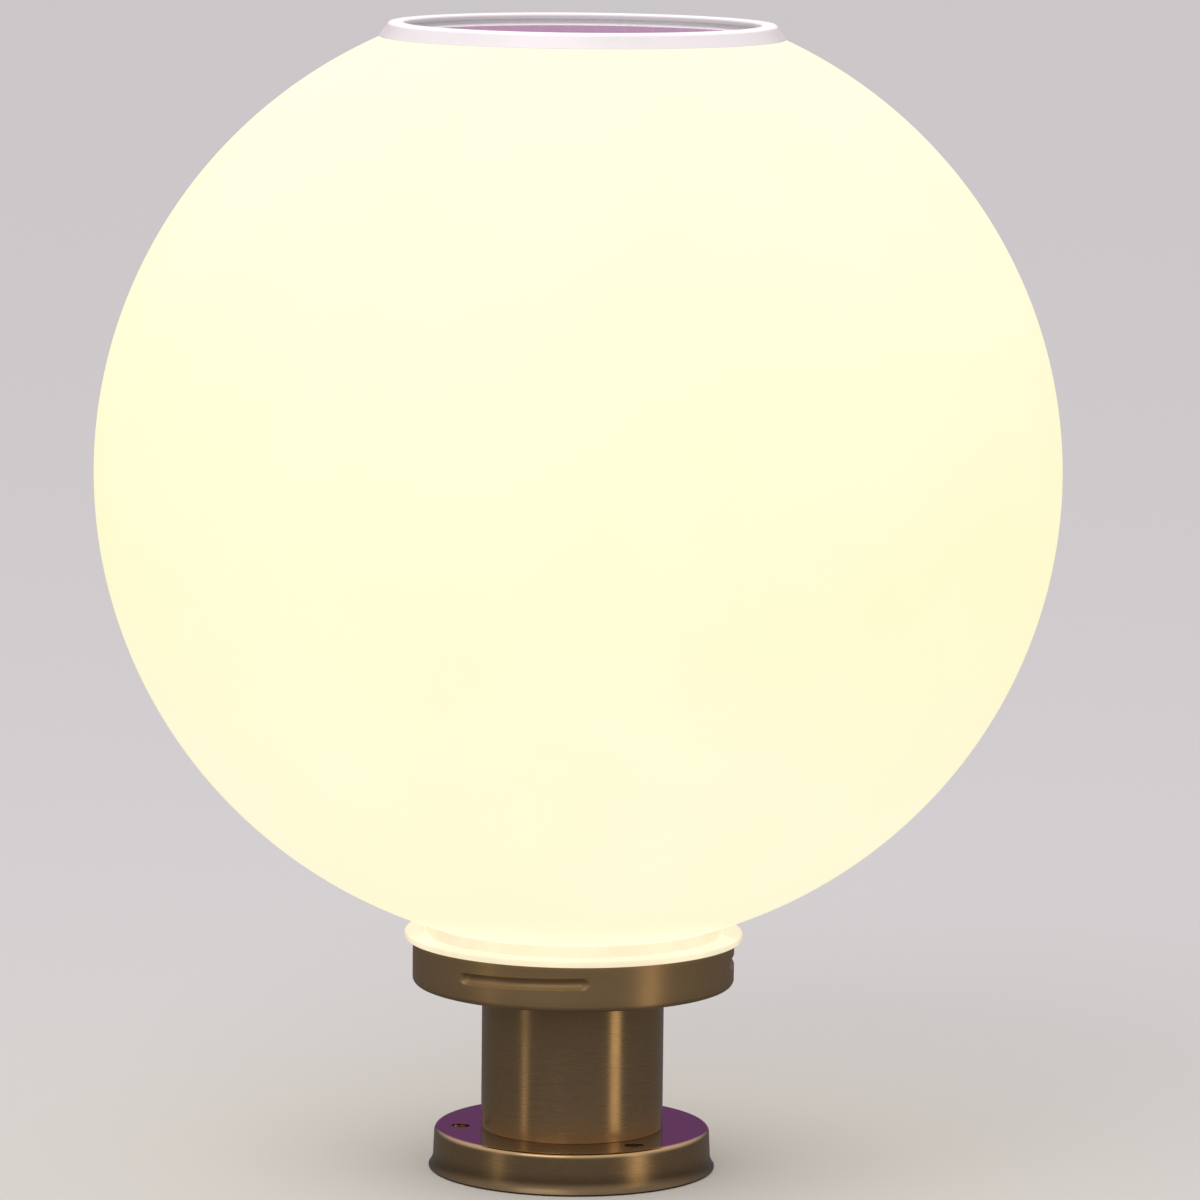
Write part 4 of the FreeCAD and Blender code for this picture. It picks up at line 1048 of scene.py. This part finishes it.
def model_bezel():
    """The white ring on the globe's mouth: flat top, sloped side and a skirt inside the mouth."""
    top, bottom, glass_top = high("bezel_ring").z, low("bezel_ring").z, high("panel_glass").z
    foot, crest, shoulder, inner = radius_of("bezel_ring"), 59.2 * MM, 59.9 * MM, 55.4 * MM
    skirt_outer, skirt_inner, lip = 57.2 * MM, 56.5 * MM, 0.1 * MM
    drop, rise, gap, bend, edge = 0.7 * MM, 0.5 * MM, 0.18 * MM, 0.9 * MM, 0.4 * MM
    points = outline(
        (inner, glass_top),
        (inner, top - edge, edge, 1),
        (inner + edge, top),
        (crest, top, bend, 1),
        (shoulder, top - drop),
        (foot, globe_height(foot, 1) + rise),
        (foot - lip, globe_height(foot, 1) + gap),
        (skirt_outer, globe_height(skirt_outer, 1) + gap),
        (skirt_outer, bottom),
        (skirt_inner, bottom),
        (skirt_inner, glass_top),
    )
    bezel = turned("white_bezel", points, lamp().ring_steps)
    round_edges(bezel, 0.12 * MM, 2, over=45)
    dress(bezel, "solar_unit", "white_plastic", finish(white_plastic), ["bezel_ring"], smooth=40)


def model_panel():
    """The panel's clear cover with its ground edge, and the tinned ribbons along the cells' columns."""
    edge = 0.25 * MM
    outer, bottom, top = radius_of("panel_glass"), low("panel_glass").z, high("panel_glass").z
    lower = (0, bottom), (outer - edge, bottom), (outer, bottom + edge)
    points = outline(*lower, (outer, top - edge), (outer - edge, top), (0, top))
    cover = turned("panel_cover", points, lamp().ring_steps, closed=False)
    dress(cover, "solar_unit", "panel_glass", finish(panel_cover), ["panel_glass"], smooth=20)
    face, span = high("solar_cells").z, radius_of("solar_cells")
    columns, half, end_gap = 6, 0.5 * MM, 2 * MM
    under, over, rounding = face + 0.01 * MM, face + 0.08 * MM, 0.02 * MM
    ribbons = []
    for column in range(columns):
        across = (column - (columns - 1) / 2) * lamp().cell_pitch
        reach = math.sqrt(span**2 - across**2) - end_gap
        for side in (-1, 1):
            x = across + side * lamp().cell_pitch / 4
            ribbons.append(block("ribbon", (x - half, -reach, under), (x + half, reach, over), rounding))
    dress(joined("cell_ribbons", ribbons), "solar_unit", "contact_metal", finish(tinned_copper))


def model_chips():
    """Twelve lit chips: a white moulded frame with a sunken well of phosphor."""
    low_corner, high_corner = low("led_chips"), high("led_chips")
    centre = (low_corner + high_corner) / 2
    half, downwards = lamp().chip / 2, -0.9
    frame_width, slope, sunk, near = 0.35 * MM, 0.15 * MM, 0.22 * MM, 0.01 * MM
    x, y = centre.x + (high_corner.x - low_corner.x) / 2 - half, centre.y
    chip = block("chip", (x - half, y - half, low_corner.z), (x + half, y + half, high_corner.z), 0.12 * MM)
    hold(chip)
    open_edit()
    if pick_faces(lambda place, normal: normal.z < downwards and place.z < low_corner.z + near) != 1:
        raise RuntimeError("the chip's lower face wasn't found")
    bpy.ops.mesh.inset(thickness=frame_width, depth=0)
    bpy.ops.mesh.inset(thickness=slope, depth=-sunk)
    close_edit()
    well = low_corner.z + sunk - 2 * near
    chip.data.materials.append(finish(chip_frame))
    chip.data.materials.append(finish(phosphor))
    for face in chip.data.polygons:
        face.material_index = int(face.normal.z < downwards and face.center.z > well)
    chips = [chip] + [copied(chip, math.radians(30 * n), centre) for n in range(1, 12)]
    dress(joined("lit_chips", chips), "solar_unit", "led_phosphor", None, ["led_chips"])


def model_cell():
    """The battery cell: steel can with its raised end, in a wrap whose ends are folded over."""
    start_x, end_x = low("battery_cell").x, high("battery_cell").x
    centre = middle("battery_cell")
    outer, bend, lift = (high("battery_cell").z - low("battery_cell").z) / 2, 0.6 * MM, 1.0 * MM
    skin, fold = 0.12 * MM, 1.9 * MM
    end, can = end_x - lift, outer - skin
    lining, clear = can + skin * 0.05, skin * 0.9
    can_points = outline(
        (0, start_x + skin),
        (can - bend, start_x + skin, bend, -1),
        (can, start_x + skin + bend),
        (can, end - skin - bend, bend, -1),
        (can - bend, end - skin),
        (3.8 * MM, end - skin),
        (3.2 * MM, end_x - 0.25 * MM),
        (2.95 * MM, end_x),
        (0, end_x),
    )
    wrap_points = outline(
        (outer - fold, start_x),
        (outer - bend, start_x, bend, -1),
        (outer, start_x + bend),
        (outer, end - bend, bend, -1),
        (outer - bend, end),
        (outer - fold, end),
        (outer - fold, end - clear),
        (lining - bend, end - clear, bend, 1),
        (lining, end - skin - bend),
        (lining, start_x + skin + bend, bend, 1),
        (lining - bend, start_x + clear),
        (outer - fold, start_x + clear),
    )
    lay = Matrix.Translation((0, centre.y, centre.z)) @ Matrix.Rotation(math.pi / 2, 4, "Y")
    steel = turned("cell_can", can_points, 96, closed=False)
    wrap = turned("cell_wrap", wrap_points, 96)
    for piece, slot, look in ((steel, "contact_metal", nickel_plate), (wrap, "cell_wrap", shrink_wrap)):
        piece.matrix_world = lay
        dress(piece, "solar_unit", slot, finish(look), ["battery_cell"] if piece == wrap else ())


def model_door():
    """The battery door: a flat plate with four rounded grip ridges near its free end."""
    node = "battery_door"
    grip_height, grip_width, grip_length = 0.7 * MM, 1.2 * MM, 14 * MM
    first_grip, grip_pitch = 24 * MM, 3 * MM
    bottom = low(node).z + grip_height
    door = block("battery_hatch", (low(node).x, low(node).y, bottom), high(node), 0.3 * MM, 3)
    for number in range(4):
        left, y = first_grip + number * grip_pitch, middle(node).y
        low_corner = (left, y - grip_length / 2, low(node).z)
        high_corner = (left + grip_width, y + grip_length / 2, bottom + grip_height)
        combine(door, block("grip", low_corner, high_corner, 0.35 * MM, 3))
    dress(door, "battery_door", "housing_plastic", finish(housing_plastic), [node])


def model_knob():
    """The switch's knob: a rounded stem with three notches across its end."""
    node = "switch_knob"
    notch, pitch = 0.4 * MM, 0.9 * MM
    knob = block("slide_knob", low(node), high(node), 0.25 * MM, 3)
    for number in (-1, 0, 1):
        x = middle(node).x + number * pitch
        low_corner = (x - notch / 2, low(node).y - MM, low(node).z - MM)
        high_corner = (x + notch / 2, high(node).y + MM, low(node).z + notch)
        cut_away(knob, block("notch", low_corner, high_corner, 0.1 * MM))
    dress(knob, "switch_knob", "component_black", finish(black_package), [node])


def finish_kept_nodes():
    """Gives the CAD nodes that stay as they are their finishes."""
    for maker, nodes in KEPT.items():
        for name in nodes:
            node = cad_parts[name]
            if not node.data.materials:
                node.data.materials.append(None)
            for slot in node.material_slots:
                slot.material = finish(maker)


# ---------------------------------------------------------------- stage


def add_light(name, place, target, size, power, shade, lights_matt=True):
    """A flat light of a width and a height, aimed at a point. The camera doesn't see it."""
    data = bpy.data.lights.new(name, "AREA")
    data.shape, data.energy, data.color = "RECTANGLE", power, shade
    data.size, data.size_y = size
    light = bpy.data.objects.new(name, data)
    bpy.context.scene.collection.objects.link(light)
    light.location = place
    light.rotation_euler = (Vector(target) - Vector(place)).to_track_quat("-Z", "Y").to_euler()
    light.visible_camera, light.visible_diffuse = False, lights_matt


def set_camera():
    stage = bpy.context.scene.lamp_stage
    camera = bpy.data.objects.new("Camera", bpy.data.cameras.new("Camera"))
    bpy.context.scene.collection.objects.link(camera)
    camera.data.lens, camera.data.sensor_width = stage.lens, 36
    camera.data.clip_end = 100
    camera.matrix_world = (
        Matrix.Translation(stage.eye)
        @ Matrix.Rotation(math.pi / 2 - stage.pitch, 4, "X")
        @ Matrix.Rotation(stage.roll, 4, "Z")
    )
    bpy.context.scene.camera = camera


def set_world():
    """Even light from above; below the horizon, the dimmer light that metal mirrors instead of the floor."""
    stage = bpy.context.scene.lamp_stage
    world = bpy.data.worlds.new("even light")
    world.use_nodes = True
    tree = world.node_tree
    sky = next(n for n in tree.nodes if n.type == "BACKGROUND")
    direction = tree.nodes.new("ShaderNodeTexCoord")
    apart = tree.nodes.new("ShaderNodeSeparateXYZ")
    rise = tree.nodes.new("ShaderNodeMapRange")
    rise.interpolation_type = "SMOOTHSTEP"
    ends = {"From Min": 0, "From Max": 0.75, "To Min": stage.ground_light, "To Max": stage.room_light}
    for name, value in ends.items():
        rise.inputs[name].default_value = value
    tree.links.new(direction.outputs["Generated"], apart.inputs[0])
    tree.links.new(apart.outputs["Z"], rise.inputs["Value"])
    tree.links.new(rise.outputs[0], sky.inputs["Strength"])
    sky.inputs["Color"].default_value = (*stage.room_colour, 1)
    bpy.context.scene.world = world


def set_lights():
    stage = bpy.context.scene.lamp_stage
    bpy.context.scene.view_settings.view_transform = "Standard"
    white, gold = (1, 0.98, 0.96), (1, 0.8, 0.5)
    add_light("key", (-0.7, -1.3, 1.9), (0, 0, 0.1), (1.4, 1.4), stage.key_power, white)
    streak_reach, streak_height = 1.1, 1.3
    right, left = ("right_streak", 56, stage.streak_power, 0.24), ("left_streak", -62, stage.left_power, 0.10)
    for name, turn, power, width in (right, left):
        way = math.radians(turn)
        place = Vector((math.sin(way), -math.cos(way), 0)) * streak_reach
        add_light(name, place, (0, 0, 0), (width, streak_height), power, gold, lights_matt=False)


def mauve_card():
    """Glow of the card behind the lamp: deep mauve low down and paler above."""
    stage = bpy.context.scene.lamp_stage
    look = Finish("mauve_card", (0, 0, 0), Emission_Strength=1.0)
    height = look.split(look.place)[2]
    return look.set(Emission_Color=look.blend(height.spread(0.22, 0.33), stage.mauve_low, stage.mauve_high))


def set_card():
    """A card behind the lamp that only its gloss sees."""
    side, back, middle_height = 0.5, 0.6, 0.2
    place, upright = (0, back, middle_height), (math.pi / 2, 0, 0)
    card = start("mauve_card", bpy.ops.mesh.primitive_plane_add, size=side, location=place, rotation=upright)
    bpy.ops.object.transform_apply(location=True, rotation=True, scale=True)
    card.data.materials.append(finish(mauve_card))
    card.visible_camera = card.visible_diffuse = card.visible_shadow = card.visible_transmission = False


def set_floor():
    shape = {"vertices": 96, "radius": bpy.context.scene.lamp_stage.floor_radius, "fill_type": "NGON"}
    floor = start("studio_floor", bpy.ops.mesh.primitive_circle_add, **shape)
    floor.data.materials.append(finish(studio_floor))
    floor.visible_glossy = False


# ---------------------------------------------------------------- the add-on's own parts


class MakeStage(bpy.types.Operator):
    """Sets the camera, the lights and the floor"""

    bl_idname = "globe_lamp.stage"
    bl_label = "Stage"

    def execute(self, context):
        set_camera()
        set_world()
        set_lights()
        set_floor()
        set_card()
        return {"FINISHED"}


class MakeStand(bpy.types.Operator):
    """Models the foot, the column and the threaded rod"""

    bl_idname = "globe_lamp.stand"
    bl_label = "Stand"

    def execute(self, context):
        model_foot()
        model_column()
        model_rod()
        return {"FINISHED"}


class MakeCollar(bpy.types.Operator):
    """Models the collar with its rolled beads"""

    bl_idname = "globe_lamp.collar"
    bl_label = "Collar"

    def execute(self, context):
        model_collar()
        return {"FINISHED"}


class MakeGlobe(bpy.types.Operator):
    """Models the globe and the ring at its neck"""

    bl_idname = "globe_lamp.globe"
    bl_label = "Globe"

    def execute(self, context):
        model_globe()
        model_neck()
        return {"FINISHED"}


class MakePanel(bpy.types.Operator):
    """Models the bezel, the panel's cover and the cells' ribbons"""

    bl_idname = "globe_lamp.panel"
    bl_label = "Solar panel"

    def execute(self, context):
        model_bezel()
        model_panel()
        return {"FINISHED"}


class MakeFittings(bpy.types.Operator):
    """Models the chips, the battery cell, its door and the switch's knob"""

    bl_idname = "globe_lamp.fittings"
    bl_label = "Fittings"

    def execute(self, context):
        model_chips()
        model_cell()
        model_door()
        model_knob()
        return {"FINISHED"}


class FinishKept(bpy.types.Operator):
    """Gives the CAD pieces that stay as they are their finishes"""

    bl_idname = "globe_lamp.kept"
    bl_label = "Kept pieces"

    def execute(self, context):
        finish_kept_nodes()
        return {"FINISHED"}


OPERATORS = (MakeStage, MakeStand, MakeCollar, MakeGlobe, MakePanel, MakeFittings, FinishKept)


class LampPanel(bpy.types.Panel):
    """Lists the lamp's operators and its settings"""

    bl_idname = "VIEW3D_PT_globe_lamp"
    bl_label = "Globe Lamp"
    bl_space_type = "VIEW_3D"
    bl_region_type = "UI"
    bl_category = "Globe Lamp"

    def draw(self, context):
        for operator in OPERATORS:
            self.layout.operator(operator.bl_idname)
        for group in (context.scene.lamp_stage, context.scene.lamp):
            for name in group.bl_rna.properties.keys():
                if name not in ("rna_type", "name"):
                    self.layout.prop(group, name)


CLASSES = (StageSettings, LampSettings, *OPERATORS, LampPanel)


def register():
    for item in CLASSES:
        bpy.utils.register_class(item)
    bpy.types.Scene.lamp_stage = PointerProperty(type=StageSettings)
    bpy.types.Scene.lamp = PointerProperty(type=LampSettings)


def unregister():
    del bpy.types.Scene.lamp
    del bpy.types.Scene.lamp_stage
    for item in reversed(CLASSES):
        bpy.utils.unregister_class(item)


def main():
    register()
    for name in ("stage", "stand", "collar", "globe", "panel", "fittings", "kept"):
        getattr(bpy.ops.globe_lamp, name)()


if __name__ == "__main__":
    main()
